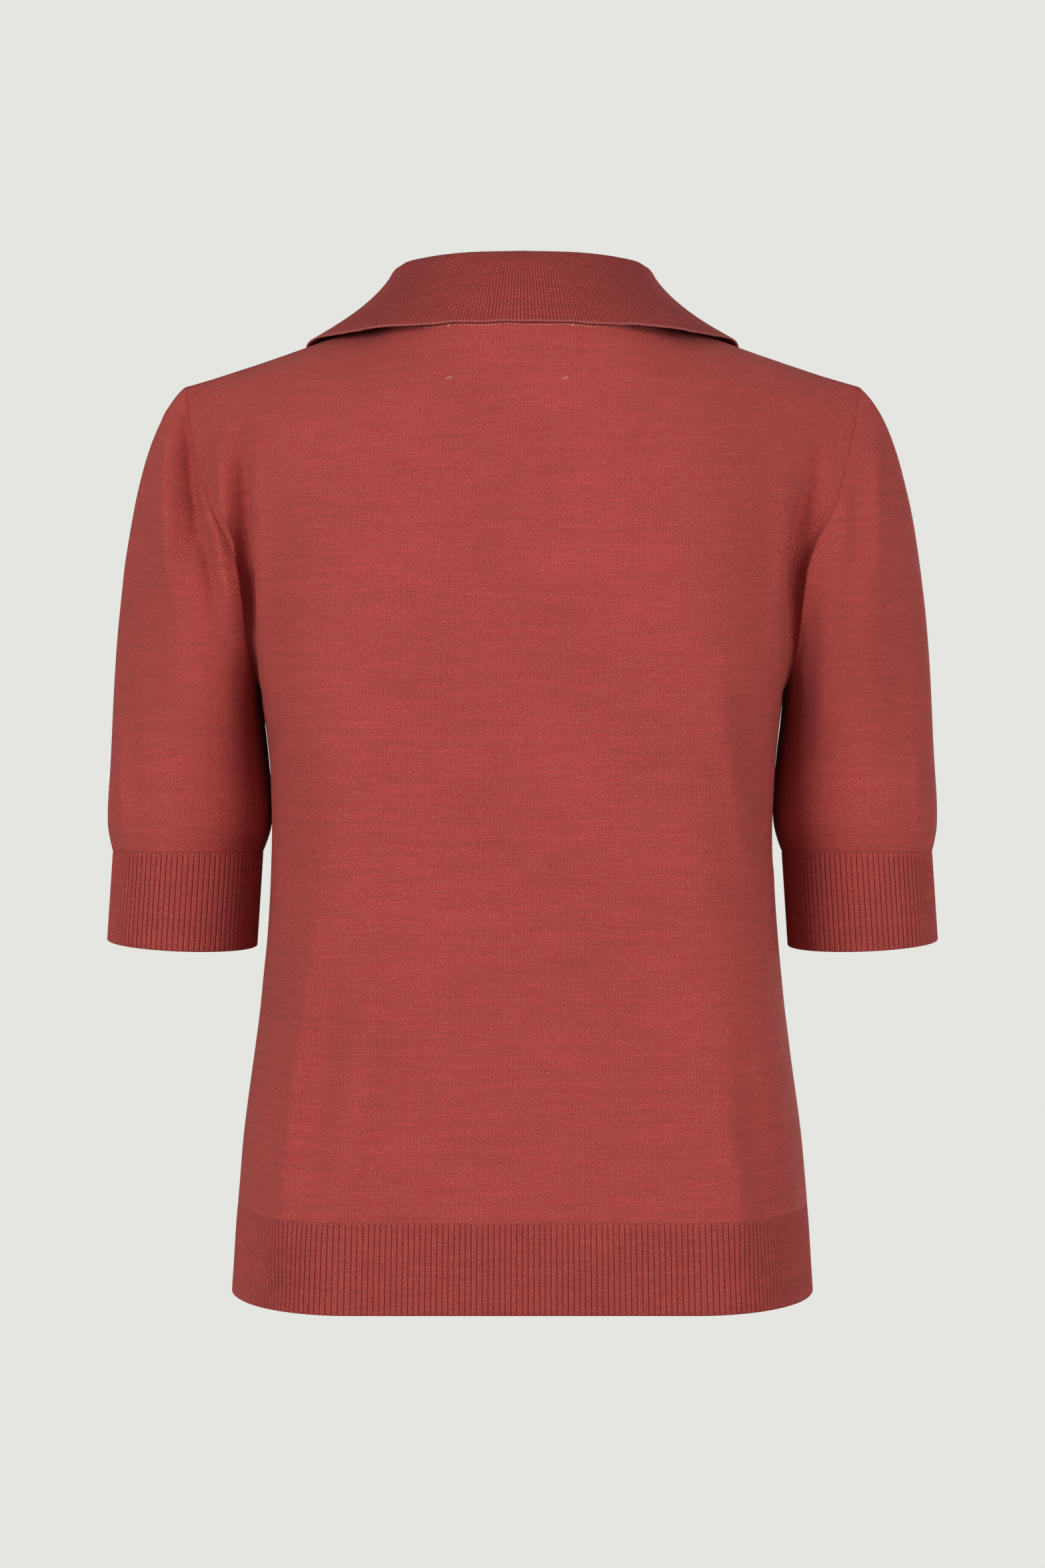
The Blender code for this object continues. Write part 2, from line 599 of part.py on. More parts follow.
def cloth_sheet(name, columns, rows, place, colour, closed=False):
    """A grid laid by place(u, v), and the same grid laid inside it, joined at the rims."""
    bm = bmesh.new()
    bmesh.ops.create_grid(bm, x_segments=columns, y_segments=rows, size=0.5)
    outer = list(bm.verts)
    uv = np.array([vert.co[:] for vert in outer]) + 0.5
    points, normals = place(uv[:, 0], uv[:, 1])
    copied = bmesh.ops.duplicate(bm, geom=bm.verts[:] + bm.edges[:] + bm.faces[:])
    inner_faces = [item for item in copied["geom"] if isinstance(item, bmesh.types.BMFace)]
    inner = [copied["vert_map"][vert] for vert in outer]
    for near, far, point, normal in zip(outer, inner, points, normals):
        near.co = Vector(point) * MM
        far.co = Vector(point - normal * WALL) * MM
    bmesh.ops.reverse_faces(bm, faces=inner_faces)
    if closed:
        wide = columns + 1
        joined = {row[k + columns]: row[k] for row in (outer, inner) for k in range(0, len(row), wide)}
        start = {vert for row in (outer, inner) for vert in row[:columns]}
        bmesh.ops.weld_verts(bm, targetmap=joined)
        rims = [edge for edge in bm.edges if edge.is_boundary]
        bmesh.ops.bridge_loops(bm, edges=[edge for edge in rims if edge.verts[0] in start])
        bmesh.ops.bridge_loops(bm, edges=[edge for edge in rims if edge.verts[0] not in start])
    else:
        bmesh.ops.bridge_loops(bm, edges=[edge for edge in bm.edges if edge.is_boundary])
    bmesh.ops.recalc_face_normals(bm, faces=bm.faces)
    if bm.calc_volume(signed=True) < 0:
        bmesh.ops.reverse_faces(bm, faces=bm.faces)
    return new_object(name, bm, colour)


def zip_edges(bm, fine, coarse, closed):
    """Triangles between two rows of points that run the same way, by their share."""
    i, j = 0, 0
    last_fine = len(fine) if closed else len(fine) - 1
    last_coarse = len(coarse) if closed else len(coarse) - 1
    while i < last_fine or j < last_coarse:
        next_fine = (i + 1) / last_fine if i < last_fine else 2.0
        next_coarse = (j + 1) / last_coarse if j < last_coarse else 2.0
        a, b = fine[i % len(fine)], coarse[j % len(coarse)]
        if next_fine <= next_coarse:
            i += 1
            bm.faces.new((a, b, fine[i % len(fine)]))
        else:
            j += 1
            bm.faces.new((a, b, coarse[j % len(coarse)]))


def ribbed_band(name, ring, ribs, inner_columns, closed, colour):
    """Rib knit: raised wales on the outside of a wall with a plain inside."""
    bm = bmesh.new()
    outer_columns = 2 * ribs
    outer_count = outer_columns if closed else outer_columns + 1
    inner_count = inner_columns if closed else inner_columns + 1
    outer_share = np.arange(outer_count) / outer_columns
    inner_share = np.arange(inner_count) / inner_columns

    def row(share, fall, sink):
        points, normals = ring(share, np.full_like(share, fall))
        return [bm.verts.new(Vector(p) * MM) for p in points - normals * sink[:, None]]

    sink = np.where(np.arange(outer_count) % 2 == 0, RIB_DEPTH, 0.0)
    outer = [row(outer_share, fall, sink) for fall in (0.0, 1.0)]
    inner = [row(inner_share, fall, np.full(inner_count, RIB_CREST)) for fall in (0.0, 1.0)]
    for rows, columns in ((outer, outer_columns), (inner, inner_columns)):
        count = len(rows[0])
        for i in range(columns):
            k = (i + 1) % count
            bm.faces.new((rows[0][i], rows[0][k], rows[1][k], rows[1][i]))
    for end in (0, 1):
        zip_edges(bm, outer[end], inner[end], closed)
    if not closed:
        for i in (0, -1):
            bm.faces.new((outer[0][i], outer[1][i], inner[1][i], inner[0][i]))
    bmesh.ops.recalc_face_normals(bm, faces=bm.faces)
    if bm.calc_volume(signed=True) < 0:
        bmesh.ops.reverse_faces(bm, faces=bm.faces)
    return new_object(name, bm, colour)


def hem_ring(side):
    def ring(share, fall):
        across = 2.0 * share - 1.0
        z = HEM_TOP - SEAM_GAP / 2 + (HEM_BOTTOM - HEM_TOP + SEAM_GAP / 2) * fall
        points = body_section(side, across, z)
        ahead = body_section(side, np.clip(across + STEP, -1, 1), z)
        behind = body_section(side, np.clip(across - STEP, -1, 1), z)
        run = unit(ahead - behind)
        normals = np.stack([run[:, 1], -run[:, 0], np.zeros_like(z)], axis=1) * -side
        at_seam = np.abs(across) > 1.0 - ON_EDGE
        normals[at_seam] = np.stack([np.sign(across), across * 0, across * 0], axis=1)[at_seam]
        return points, normals

    return ring


def cuff_band(hand):
    def ring(share, fall):
        fall = fall + (1.0 - fall) * SEAM_GAP / CUFF_LENGTH
        points = cuff_ring(share, fall)
        angle = 2.0 * np.pi * share
        normals = unit(
            np.stack(
                [
                    -np.cos(angle) / CUFF_HALF_WIDTH,
                    -np.sin(angle) / CUFF_HALF_DEPTH,
                    np.zeros_like(angle),
                ],
                axis=1,
            )
        )
        flip = np.array([hand, 1.0, 1.0])
        return points * flip, normals * flip

    return ring


def outside_of(panels):
    """Search tree over the outer faces of the panels, each cell halved both ways."""
    points, faces = [], []
    columns, rows = 2 * (NECK_COLUMNS + SHOULDER_COLUMNS), PANEL_LOW_ROWS + PANEL_HIGH_ROWS
    for side, place in panels.items():
        u, v = np.meshgrid(np.linspace(0, 1, columns + 1), np.linspace(0, 1, rows + 1))
        start = len(points)
        points.extend(Vector(p) for p in place(u.ravel(), v.ravel())[0])
        for j in range(rows):
            for i in range(columns):
                a = start + j * (columns + 1) + i
                b, c, d = a + 1, a + columns + 2, a + columns + 1
                halves = ((a, b, c), (a, c, d), (a, b, d), (b, c, d))
                faces.extend(half if side < 0 else half[::-1] for half in halves)
    return BVHTree.FromPolygons(points, faces)


def lifted(place, tree):
    """The collar's wall: its middle sheet, moved out of the panels where it lies on them."""

    def raised(u, v):
        points = place(u, v)
        on_fall = v > (STAND_STEPS + ROLL_STEPS) / (STAND_STEPS + ROLL_STEPS + FALL_STEPS)
        share = neckline_share(u)
        clearance = np.interp(share, CLEARANCE_TURN, (COLLAR_CLEARANCE, COLLAR_FRONT_CLEARANCE))
        for k in np.nonzero(on_fall)[0]:
            near, normal, _, _ = tree.find_nearest(Vector(points[k]))
            height = (Vector(points[k]) - near).dot(normal)
            if height < clearance[k]:
                points[k] += np.array(normal) * (clearance[k] - height)
        return points

    def wall(u, v):
        points = raised(u, v)
        normals = surface_normals(raised, u, v)
        at_seam = v < ON_EDGE
        normals[at_seam] = place.seam_normals(u[at_seam])
        return points + normals * (WALL / 2), normals

    return wall


for old in list(bpy.data.objects):
    bpy.data.objects.remove(old, do_unlink=True)

sweater = bpy.data.collections.new("polo_sweater")
bpy.context.scene.collection.children.link(sweater)

panels = {-1: panel_place(-1), 1: panel_place(1)}
panel_columns = 2 * (NECK_COLUMNS + SHOULDER_COLUMNS)
panel_rows = PANEL_LOW_ROWS + PANEL_HIGH_ROWS
for side, name in ((-1, "back"), (1, "front")):
    cloth_sheet(name, panel_columns, panel_rows, panels[side], KNIT)
    ribbed_band("hem_rib_" + name, hem_ring(side), HEM_RIBS_A_SIDE, HEM_INNER_COLUMNS, False, RIB)

for hand, name in ((1.0, "right"), (-1.0, "left")):
    sleeve_columns = 2 * PANEL_HIGH_ROWS
    cloth_sheet("sleeve_" + name, sleeve_columns, SLEEVE_ROWS, sleeve_place(hand), KNIT, True)
    ribbed_band("cuff_" + name, cuff_band(hand), CUFF_RIBS, CUFF_INNER_COLUMNS, True, RIB)

collar = lifted(collar_place(panels), outside_of(panels))
collar_columns = 4 * NECK_COLUMNS * COLLAR_STEPS
cloth_sheet("collar", collar_columns, STAND_STEPS + ROLL_STEPS + FALL_STEPS, collar, RIB)
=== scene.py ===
import bpy
import math
import numpy as np
from mathutils import Matrix, Vector, noise
from mathutils.bvhtree import BVHTree


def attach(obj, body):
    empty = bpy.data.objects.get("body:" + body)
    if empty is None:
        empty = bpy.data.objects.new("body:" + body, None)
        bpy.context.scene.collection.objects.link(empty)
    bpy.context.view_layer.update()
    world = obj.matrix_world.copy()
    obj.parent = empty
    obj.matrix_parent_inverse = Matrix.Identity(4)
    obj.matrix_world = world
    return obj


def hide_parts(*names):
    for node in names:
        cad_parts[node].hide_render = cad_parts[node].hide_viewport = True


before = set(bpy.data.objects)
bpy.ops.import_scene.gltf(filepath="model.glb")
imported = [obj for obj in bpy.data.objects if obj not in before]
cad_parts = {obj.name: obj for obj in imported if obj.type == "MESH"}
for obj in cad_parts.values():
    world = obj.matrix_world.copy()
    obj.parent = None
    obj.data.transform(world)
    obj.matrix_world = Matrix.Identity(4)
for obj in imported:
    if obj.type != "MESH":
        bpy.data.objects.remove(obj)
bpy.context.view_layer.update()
mm = 0.001

# shapes are worked out in mm, and this is where they are seen from
eye = Vector((0.0, -2000.0, -255.0))
print("frame loaded")


def smoothRows(table, at):
    rows = np.array(table, dtype=float)
    keys, values = rows[:, 0], rows[:, 1:]
    steps = np.diff(keys)[:, None]
    slopes = np.diff(values, axis=0) / steps
    bends = np.empty_like(values)
    bends[0], bends[-1] = slopes[0], slopes[-1]
    weight = steps[1:] / (steps[1:] + steps[:-1])
    bends[1:-1] = slopes[:-1] * weight + slopes[1:] * (1.0 - weight)
    at = np.clip(np.asarray(at, dtype=float), keys[0], keys[-1])
    cell = np.clip(np.searchsorted(keys, at, side="right") - 1, 0, len(keys) - 2)
    span = steps[cell]
    t = (at - keys[cell])[:, None] / span
    return (
        values[cell] * (1.0 + 2.0 * t) * (1.0 - t) ** 2
        + bends[cell] * span * t * (1.0 - t) ** 2
        + values[cell + 1] * t * t * (3.0 - 2.0 * t)
        - bends[cell + 1] * span * t * t * (1.0 - t)
    )


def bezier(p0, p1, p2, p3, t):
    t = t[:, None]
    r = 1.0 - t
    return p0 * r**3 + 3.0 * p1 * r * r * t + 3.0 * p2 * r * t * t + p3 * t**3


def unit(v):
    return v / np.maximum(np.linalg.norm(v, axis=-1, keepdims=True), 1e-9)


def cornerAngle(share, ratio):
    angles = np.linspace(0.0, np.pi / 2, 61)
    speed = np.hypot(ratio * np.cos(angles), np.sin(angles))
    length = np.concatenate(([0.0], np.cumsum((speed[1:] + speed[:-1]) / 2)))
    return np.interp(share, length / length[-1], angles)


def runLength(points, axis):
    # distance along a grid of points, from its first row or column
    steps = np.linalg.norm(np.diff(points, axis=axis), axis=-1)
    zero = np.zeros_like(np.take(steps, [0], axis=axis))
    return np.concatenate([zero, np.cumsum(steps, axis=axis)], axis=axis)


def gridNormals(points, closed=False):
    # normals of a grid of points, rows up and columns across
    if closed:
        wrapped = np.concatenate([points[:, -2:-1], points, points[:, 1:2]], axis=1)
        du = wrapped[:, 2:] - wrapped[:, :-2]
    else:
        du = np.gradient(points, axis=1)
    dv = np.gradient(points, axis=0)
    return unit(np.cross(du, dv))


def alongLine(at, run, line):
    # what a line of points or directions says at some distances along it
    return np.stack([np.interp(at, run, line[:, k]) for k in range(3)], axis=-1)


def linked(name, data):
    piece = bpy.data.objects.new(name, data)
    bpy.context.scene.collection.objects.link(piece)
    return piece


body = {
    # height, half width, back depth, back flat, front depth, front flat
    "sections": (
        (-532, 159.5, 110, 90, 100, 60),
        (-486, 156.4, 108, 89, 100, 58),
        (-440, 152.2, 104.5, 87, 101, 54),
        (-396, 146.3, 101.5, 85, 103.5, 50),
        (-352, 141.3, 100.5, 84, 109, 46),
        (-308, 138.2, 101.5, 83, 116, 43),
        (-249, 138.4, 104.5, 83, 121, 41),
        (-205, 143, 106.5, 84, 119, 42),
    ),
    # height, back edge x and y, front edge x and y
    "armhole": (
        (-205, 143, 0, 143, 0),
        (-201, 144.6, -18, 144.2, 18),
        (-192, 146.5, -32, 145.6, 32),
        (-175, 149, -44, 147.4, 44),
        (-152, 151.2, -50, 149.4, 49),
        (-138, 153.4, -51, 151.6, 49),
        (-127, 157.2, -50, 154.8, 47.5),
        (-104, 169, -45, 164.5, 41),
        (-81, 176, -34.5, 173, 31),
        (-60, 181.3, -20.5, 180, 18.5),
        (-46, 184.2, -8.5, 184, 8),
        (-36, 185, 0, 185, 0),
    ),
    # share from the centre, then how the cloth leans off the top edge
    "backLean": (
        (0.00, 0, 16, -48),
        (0.10, 0, 22, -35),
        (0.20, 2, 39, -18),
        (0.30, 7, 65, -11),
        (0.38, 14, 93, -13),
        (0.60, 7, 95, -11),
        (0.80, 2, 76, -12),
        (1.00, -1, 22, -22),
    ),
    "frontLean": (
        (0.00, 0, 9, -24),
        (0.10, 0, 15, -30),
        (0.22, 3, 30, -32),
        (0.38, 12, 66, -13),
        (0.60, 6, 68, -10),
        (0.80, 2, 56, -11),
        (1.00, -1, 20, -22),
    ),
    "backFlat": (0.385, 0.53),
    "frontFlat": (0.193, 0.83),
    "hemTop": -484.2,
    "hemBottom": -532.0,
    "underarm": -205.0,
    "neckShare": 0.38,
    "neckHalf": 80.0,
    "neckDepth": 84.0,
    "neckDrop": 10.5,
    "neckRound": 0.84,
    "neckDropEase": 0.6,
    "neckFrontLeans": ((79.0, 40.0, -1.0), (46.0, 62.0, -62.0)),
    "vBase": (0.0, 99.0, -130.0),
    "shoulder": (185.0, 0.0, -36.0),
    "shoulderDip": 1.6,
    "easePasses": 120,
    "easeDepth": 45.0,
    "easeRise": 0.12,
    "easeSide": 0.3,
    "lowLean": 72.0,
    "sectionStep": 4.0,
    "armholeReach": 9.0,
    "bustCentre": (72.0, -236.0),
    "bustSpread": (32.0, 48.0),
    "bustHeight": 5.0,
    "wall": 1.3,
    "rowStep": 2.7,
    "columnStep": 2.7,
    "riseLength": 235.0,
    "halfRound": 190.0,
    "neckColumns": 0.45,
    "seams": (0.12, 0.35, 0.4, 0.4),
    "waveSeed": 3.0,
    # folds end within these shares of the side seams and of the top edge
    "foldEnds": (0.022, 0.08),
}


def bodySection(side, share, z):
    # side is -1 for the back and 1 for the front, share runs from the middle to the side seam
    halfWidth, backDepth, backFlat, frontDepth, frontFlat = smoothRows(body["sections"], z).T
    depth, flat = (backDepth, backFlat) if side < 0 else (frontDepth, frontFlat)
    flatShare, ratio = body["backFlat"] if side < 0 else body["frontFlat"]
    out = np.abs(share)
    angle = cornerAngle(np.clip((out - flatShare) / (1 - flatShare), 0, 1), ratio)
    x = flat * np.clip(out / flatShare, 0, 1) + (halfWidth - flat) * np.sin(angle)
    y = side * np.maximum(depth * np.cos(angle), 0.0)
    if side > 0:
        across = (x - body["bustCentre"][0]) / body["bustSpread"][0]
        along = (z - body["bustCentre"][1]) / body["bustSpread"][1]
        y = y + body["bustHeight"] * np.exp(-(across**2) - along**2)
    return np.stack([x * np.sign(share), y, z], axis=1)


def bodySideX(y, z):
    # how far out the body reaches beside a sleeve
    halfWidth, backDepth, backFlat, frontDepth, frontFlat = smoothRows(body["sections"], z).T
    depth = np.where(y < 0, backDepth, frontDepth)
    flat = np.where(y < 0, backFlat, frontFlat)
    return flat + (halfWidth - flat) * np.sqrt(np.clip(1 - (y / depth) ** 2, 0, 1))


def topEdge(side, out):
    # neckline, then shoulder seam
    neck = np.clip(out / body["neckShare"], 0, 1)
    if side < 0:
        angle = cornerAngle(neck, 1.0)
        x = body["neckHalf"] * np.sin(angle) ** body["neckRound"]
        y = -body["neckDepth"] * np.cos(angle) ** body["neckRound"]
        z = -body["neckDrop"] * (np.abs(y) / body["neckDepth"]) ** body["neckDropEase"]
        alongNeck = np.stack([x, y, z], axis=1)
    else:
        over, down = np.array(body["neckFrontLeans"])
        high = np.array([body["neckHalf"], 0.0, 0.0])
        alongNeck = bezier(high, over, down, np.array(body["vBase"]), 1.0 - neck)
    start = np.array([body["neckHalf"], 0.0, 0.0])
    seam = np.clip((out - body["neckShare"]) / (1 - body["neckShare"]), 0, 1)
    alongShoulder = start + (np.array(body["shoulder"]) - start) * seam[:, None]
    alongShoulder[:, 2] -= body["shoulderDip"] * 4.0 * seam * (1.0 - seam)
    edge = np.where((out < body["neckShare"])[:, None], alongNeck, alongShoulder)
    edge[:, 1] = side * np.abs(edge[:, 1])
    return edge


def onGrid(shape, side, across, up):
    # what a shape says at every crossing of a grid
    s, t = np.meshgrid(across, up)
    return shape(side, s.ravel(), t.ravel()).reshape(*s.shape, 3)


def armholeEdge(side, z):
    backX, backY, frontX, frontY = smoothRows(body["armhole"], z).T
    x, y = (backX, backY) if side < 0 else (frontX, frontY)
    return np.stack([x, side * np.abs(y), z], axis=1)


def risingLine(side, out, rise):
    # from the underarm level up to the top edge
    low = bodySection(side, out, np.full_like(out, body["underarm"]))
    below = bodySection(side, out, np.full_like(out, body["underarm"] - body["sectionStep"]))
    top = topEdge(side, out)
    lean = smoothRows(body["backLean"] if side < 0 else body["frontLean"], out)
    lean = lean * np.array([1.0, side, 1.0])
    reach = np.minimum(body["lowLean"], np.linalg.norm(top - low, axis=1) / 3.0)[:, None]
    return bezier(low, low + unit(low - below) * reach, top + lean, top, rise)


def upperBody(side, share, rise):
    out = np.abs(share)
    points = risingLine(side, out, rise)
    atSide = risingLine(side, np.ones_like(out), rise)
    drawn = armholeEdge(side, atSide[:, 2]) - atSide
    points = points + drawn * (out ** body["armholeReach"])[:, None]
    points[:, 0] *= np.sign(share)
    points[:, 1] = side * np.maximum(side * points[:, 1], 0.0)
    return points


folding = {
    "taper": 0.8,
    "alongNormal": 0.55,
    "straightOut": 0.45,
    "turnWidth": 12.0,
    "waveHeight": 0.25,
    "waveLength": (38.0, 24.0),
}


def foldHeight(folds, side, points):
    # soft ridges and troughs, each drawn as a line on the back or the front
    height = np.zeros(points.shape[:-1])
    for foldSide, x0, z0, x1, z1, halfWidth, lift in folds:
        if foldSide != side:
            continue
        run = np.array([x1 - x0, z1 - z0])
        length = np.hypot(*run)
        offset = points[..., [0, 2]] - (x0, z0)
        along = offset @ run / length**2
        across = (offset[..., 0] * run[1] - offset[..., 1] * run[0]) / length
        taper = np.sin(np.pi * np.clip(along, 0, 1)) ** folding["taper"]
        height += lift * taper * np.exp(-((across / halfWidth) ** 2))
    return height


def foldWay(points, normals):
    # folds stand partly straight out to the back or the front
    y = points[..., 1]
    side = np.sign(y) * np.clip(np.abs(y) / folding["turnWidth"], 0, 1) * folding["straightOut"]
    way = normals * folding["alongNormal"]
    way[..., 1] += side
    return unit(way)


def softWaves(points, seed):
    # the cloth is never quite even: low waves, wider than tall
    tall, wide = folding["waveLength"]
    waves = [
        noise.noise(Vector((x / tall + seed, y / tall, z / wide)))
        for x, y, z in points.reshape(-1, 3)
    ]
    return np.reshape(waves, points.shape[:-1]) * folding["waveHeight"]


def creased(points, normals, height, waves):
    points = points + foldWay(points, normals) * height[..., None]
    return points + normals * waves[..., None]


edgeTurn = {
    # how an edge turns in: distance from it in mm, and share of its depth
    "seam": ((0.0, 1.0), (0.4, 0.66), (0.9, 0.22), (1.6, 0.0)),
    "rim": ((0.0, 0.45), (0.1, 0.27), (0.3, 0.1), (0.65, 0.0)),
    "withinCell": 0.92,
}


def addLines(layers, axis, atEnd, distances):
    # more lines of points close to one edge of a grid
    points = np.moveaxis(layers[0], axis, 0)
    points = points[::-1] if atEnd else points
    length = np.linalg.norm(points[1] - points[0], axis=-1)
    share = np.array(distances)[:, None] / length[None, :]
    share = np.clip(share, 0, edgeTurn["withinCell"])[..., None]
    finer = []
    for layer in layers:
        a = np.moveaxis(layer, axis, 0)
        a = a[::-1] if atEnd else a
        a = np.concatenate([a[:1], a[0] + (a[1] - a[0]) * share, a[1:]])
        a = a[::-1] if atEnd else a
        finer.append(np.moveaxis(a, 0, axis))
    return finer


def layCloth(points, normals, uv, wall, edges):
    # edges: first row, last row, first column, last column, each a seam depth, "rim" or None
    sinks, rims = [], []
    layers = [points, normals, uv]
    for axis in (0, 1):
        count = layers[0].shape[axis]
        sink, rim = np.zeros(count), np.zeros(count)
        for atEnd in (False, True):
            edge = edges[2 * axis + atEnd]
            if edge is None:
                continue
            shape = edgeTurn["rim" if edge == "rim" else "seam"]
            layers = addLines(layers, axis, atEnd, [d for d, _ in shape[1:]])
            depth = np.array([d for _, d in shape]) * (wall if edge == "rim" else edge)
            more = np.zeros(len(depth))
            if atEnd:
                grown = [np.concatenate([line[:-1], more]) for line in (sink, rim)]
                grown[edge == "rim"][-len(depth):] = depth[::-1]
            else:
                grown = [np.concatenate([more, line[1:]]) for line in (sink, rim)]
                grown[edge == "rim"][: len(depth)] = depth
            sink, rim = grown
        sinks.append(sink)
        rims.append(rim)
    points, normals, uv = layers
    sink = np.maximum(sinks[0][:, None], sinks[1][None, :])[..., None]
    rim = np.maximum(rims[0][:, None], rims[1][None, :])[..., None]
    return points - normals * (sink + rim), points - normals * (sink + wall - rim), uv


def clothMesh(name, outer, inner, uv, materials, closed=False):
    # outer and inner are grids of points in mm, uv one pair for each of them
    rows, cols = outer.shape[:2]
    step = cols - 1 if closed else cols
    count = rows * step
    vertices = np.concatenate([wall[:, :step].reshape(-1, 3) for wall in (outer, inner)]) * mm
    j, i = np.meshgrid(np.arange(rows - 1), np.arange(cols - 1), indexing="ij")
    j, i = j.ravel(), i.ravel()
    k = (i + 1) % step
    face = np.stack([
        j * step + i, j * step + k, (j + 1) * step + k, (j + 1) * step + i
    ], axis=1)
    corner = np.stack([
        j * cols + i, j * cols + i + 1, (j + 1) * cols + i + 1, (j + 1) * cols + i
    ], axis=1)
    faces = [face, face[:, ::-1] + count]
    corners = [corner, corner[:, ::-1]]
    inside = [np.zeros(len(face)), np.ones(len(face))]

    def rim(a, b, uvA):
        faces.append(np.stack([a[1:], a[:-1], b[:-1], b[1:]], axis=1))
        corners.append(np.stack([uvA[1:], uvA[:-1], uvA[:-1], uvA[1:]], axis=1))
        inside.append(np.zeros(len(a) - 1))

    across = np.arange(cols)
    for row, way in ((0, 1), (rows - 1, -1)):
        a = (row * step + across % step)[::way]
        rim(a, a + count, (row * cols + across)[::way])
    if not closed:
        up = np.arange(rows)
        for col, way in ((0, -1), (cols - 1, 1)):
            a = (up * step + col)[::way]
            rim(a, a + count, (up * cols + col)[::way])
    faces, corners = np.concatenate(faces), np.concatenate(corners)
    inside = np.concatenate(inside).astype(np.int32)
    mesh = bpy.data.meshes.new(name)
    mesh.from_pydata(vertices.tolist(), [], faces.tolist())
    layer = mesh.uv_layers.new(name="knit")
    layer.data.foreach_set("uv", uv.reshape(-1, 2)[corners.ravel()].astype(np.float32).ravel())
    for material in materials:
        mesh.materials.append(material)
    mesh.polygons.foreach_set("material_index", inside if len(materials) > 1 else inside * 0)
    mesh.shade_smooth()
    mesh.validate()
    mesh.update()
    print(name, len(mesh.polygons) * 2, "triangles")
    return linked(name, mesh)


class Value:
    # wraps a socket so that maths can be written as an expression
    def __init__(self, nodes, socket):
        self.nodes, self.socket = nodes, socket

    def math(self, operation, *others):
        ports = dict(enumerate((self, *others)))
        return self.nodes.add("ShaderNodeMath", {"operation": operation}, ports)

    def reflected(self, operation, other):
        return self.nodes.add("ShaderNodeMath", {"operation": operation}, {0: other, 1: self})

    def __add__(self, other):
        return self.math("ADD", other)

    def __sub__(self, other):
        return self.math("SUBTRACT", other)

    def __rsub__(self, other):
        return self.reflected("SUBTRACT", other)

    def __mul__(self, other):
        return self.math("MULTIPLY", other)

    def __truediv__(self, other):
        return self.math("DIVIDE", other)

    def __rtruediv__(self, other):
        return self.reflected("DIVIDE", other)

    def __pow__(self, other):
        return self.math("POWER", other)

    def __rpow__(self, other):
        return self.reflected("POWER", other)

    __radd__, __rmul__ = __add__, __mul__

    def abs(self):
        return self.math("ABSOLUTE")

    def fract(self):
        return self.math("FRACT")

    def sine(self):
        return self.math("SINE")

    def cosine(self):
        return self.math("COSINE")

    def most(self, other):
        return self.math("MAXIMUM", other)


class Nodes:
    def __init__(self, name):
        self.material = bpy.data.materials.new(name)
        self.material.use_nodes = True
        self.tree = self.material.node_tree
        self.shader = self.tree.nodes["Principled BSDF"]

    def add(self, kind, settings=None, ports=None, out=0):
        # settings are set first, then the values and links of the sockets
        node = self.tree.nodes.new(kind)
        for key, value in (settings or {}).items():
            setattr(node, key, value)
        for key, value in (ports or {}).items():
            self.feed(node.inputs[key], value)
        return Value(self, node.outputs[out])

    def feed(self, socket, value):
        if isinstance(value, Value):
            self.tree.links.new(value.socket, socket)
        elif isinstance(value, tuple) and len(value) == 3 and socket.type == "RGBA":
            socket.default_value = (*value, 1.0)
        else:
            socket.default_value = value

    def mix(self, factor, a, b, blend="MIX"):
        settings = {"data_type": "RGBA", "blend_type": blend}
        return self.add("ShaderNodeMix", settings, {0: factor, 6: a, 7: b}, 2)

    def vector(self, x, y, z=0.0):
        return self.add("ShaderNodeCombineXYZ", None, {0: x, 1: y, 2: z})

    def noise(self, vector, scale, detail=2.0, roughness=0.5):
        ports = {"Vector": vector, "Scale": scale, "Detail": detail, "Roughness": roughness}
        return self.add("ShaderNodeTexNoise", None, ports)

    def span(self, value, low, high, toLow=0.0, toHigh=1.0):
        ports = {0: value, 1: low, 2: high, 3: toLow, 4: toHigh}
        return self.add("ShaderNodeMapRange", None, ports)

    def place(self):
        # where a point lies on the knit, across and along it
        where = self.add("ShaderNodeUVMap", {"uv_map": "knit"})
        split = self.add("ShaderNodeSeparateXYZ", None, {0: where})
        return split, Value(self, split.socket.node.outputs[1])


knit = {
    "wale": 1.25,
    "course": 0.975,
    "jersey": (0.46, 0.054, 0.047),
    "rib": (0.385, 0.045, 0.040),
    "collar": (0.305, 0.0345, 0.0305),
    # the light flecks' colour, partly the yarn and partly painted highlight; also the painted
    # highlight on the loop tops
    "fleckAndHighlight": (0.86, 0.35, 0.31),
    "shade": (0.17, 0.010, 0.010),
    # painted shade in the gutters between the ribs
    "gutter": (0.085, 0.004, 0.005),
    # a grain: scale across and along, place, detail, roughness
    "fleckGrain": (0.9, 1.25, 3.0, 3.0, 0.65),
    "fleckShare": 0.5,
    "fleckRanges": ((0.54, 0.78), (0.46, 0.24)),
    # streaks along the courses, short ones and wide patches, each with how much it changes the tone
    "tones": (
        ((0.022, 0.27, 5.0, 3.0, 0.6), 0.096),
        ((0.11, 0.85, 9.0, 2.0, 0.6), 0.096),
        ((0.012, 0.014, 7.0, 2.0, 0.5), 0.06),
    ),
    "toneRange": (0.3, 0.7),
    "wander": ((0.06, 0.05, 1.0, 1.0), (0.6, 0.5, 2.0, 2.0)),
    "closeWander": 0.8,
    "fuzz": 0.6,
    "fuzzGrain": (1.9, 3.0, 0.7),
    "finish": {
        "Roughness": 0.88,
        "Specular IOR Level": 0.18,
        "Sheen Weight": 0.09,
        "Sheen Roughness": 0.4,
        "Sheen Tint": (1.0, 0.5, 0.45, 1.0),
    },
}

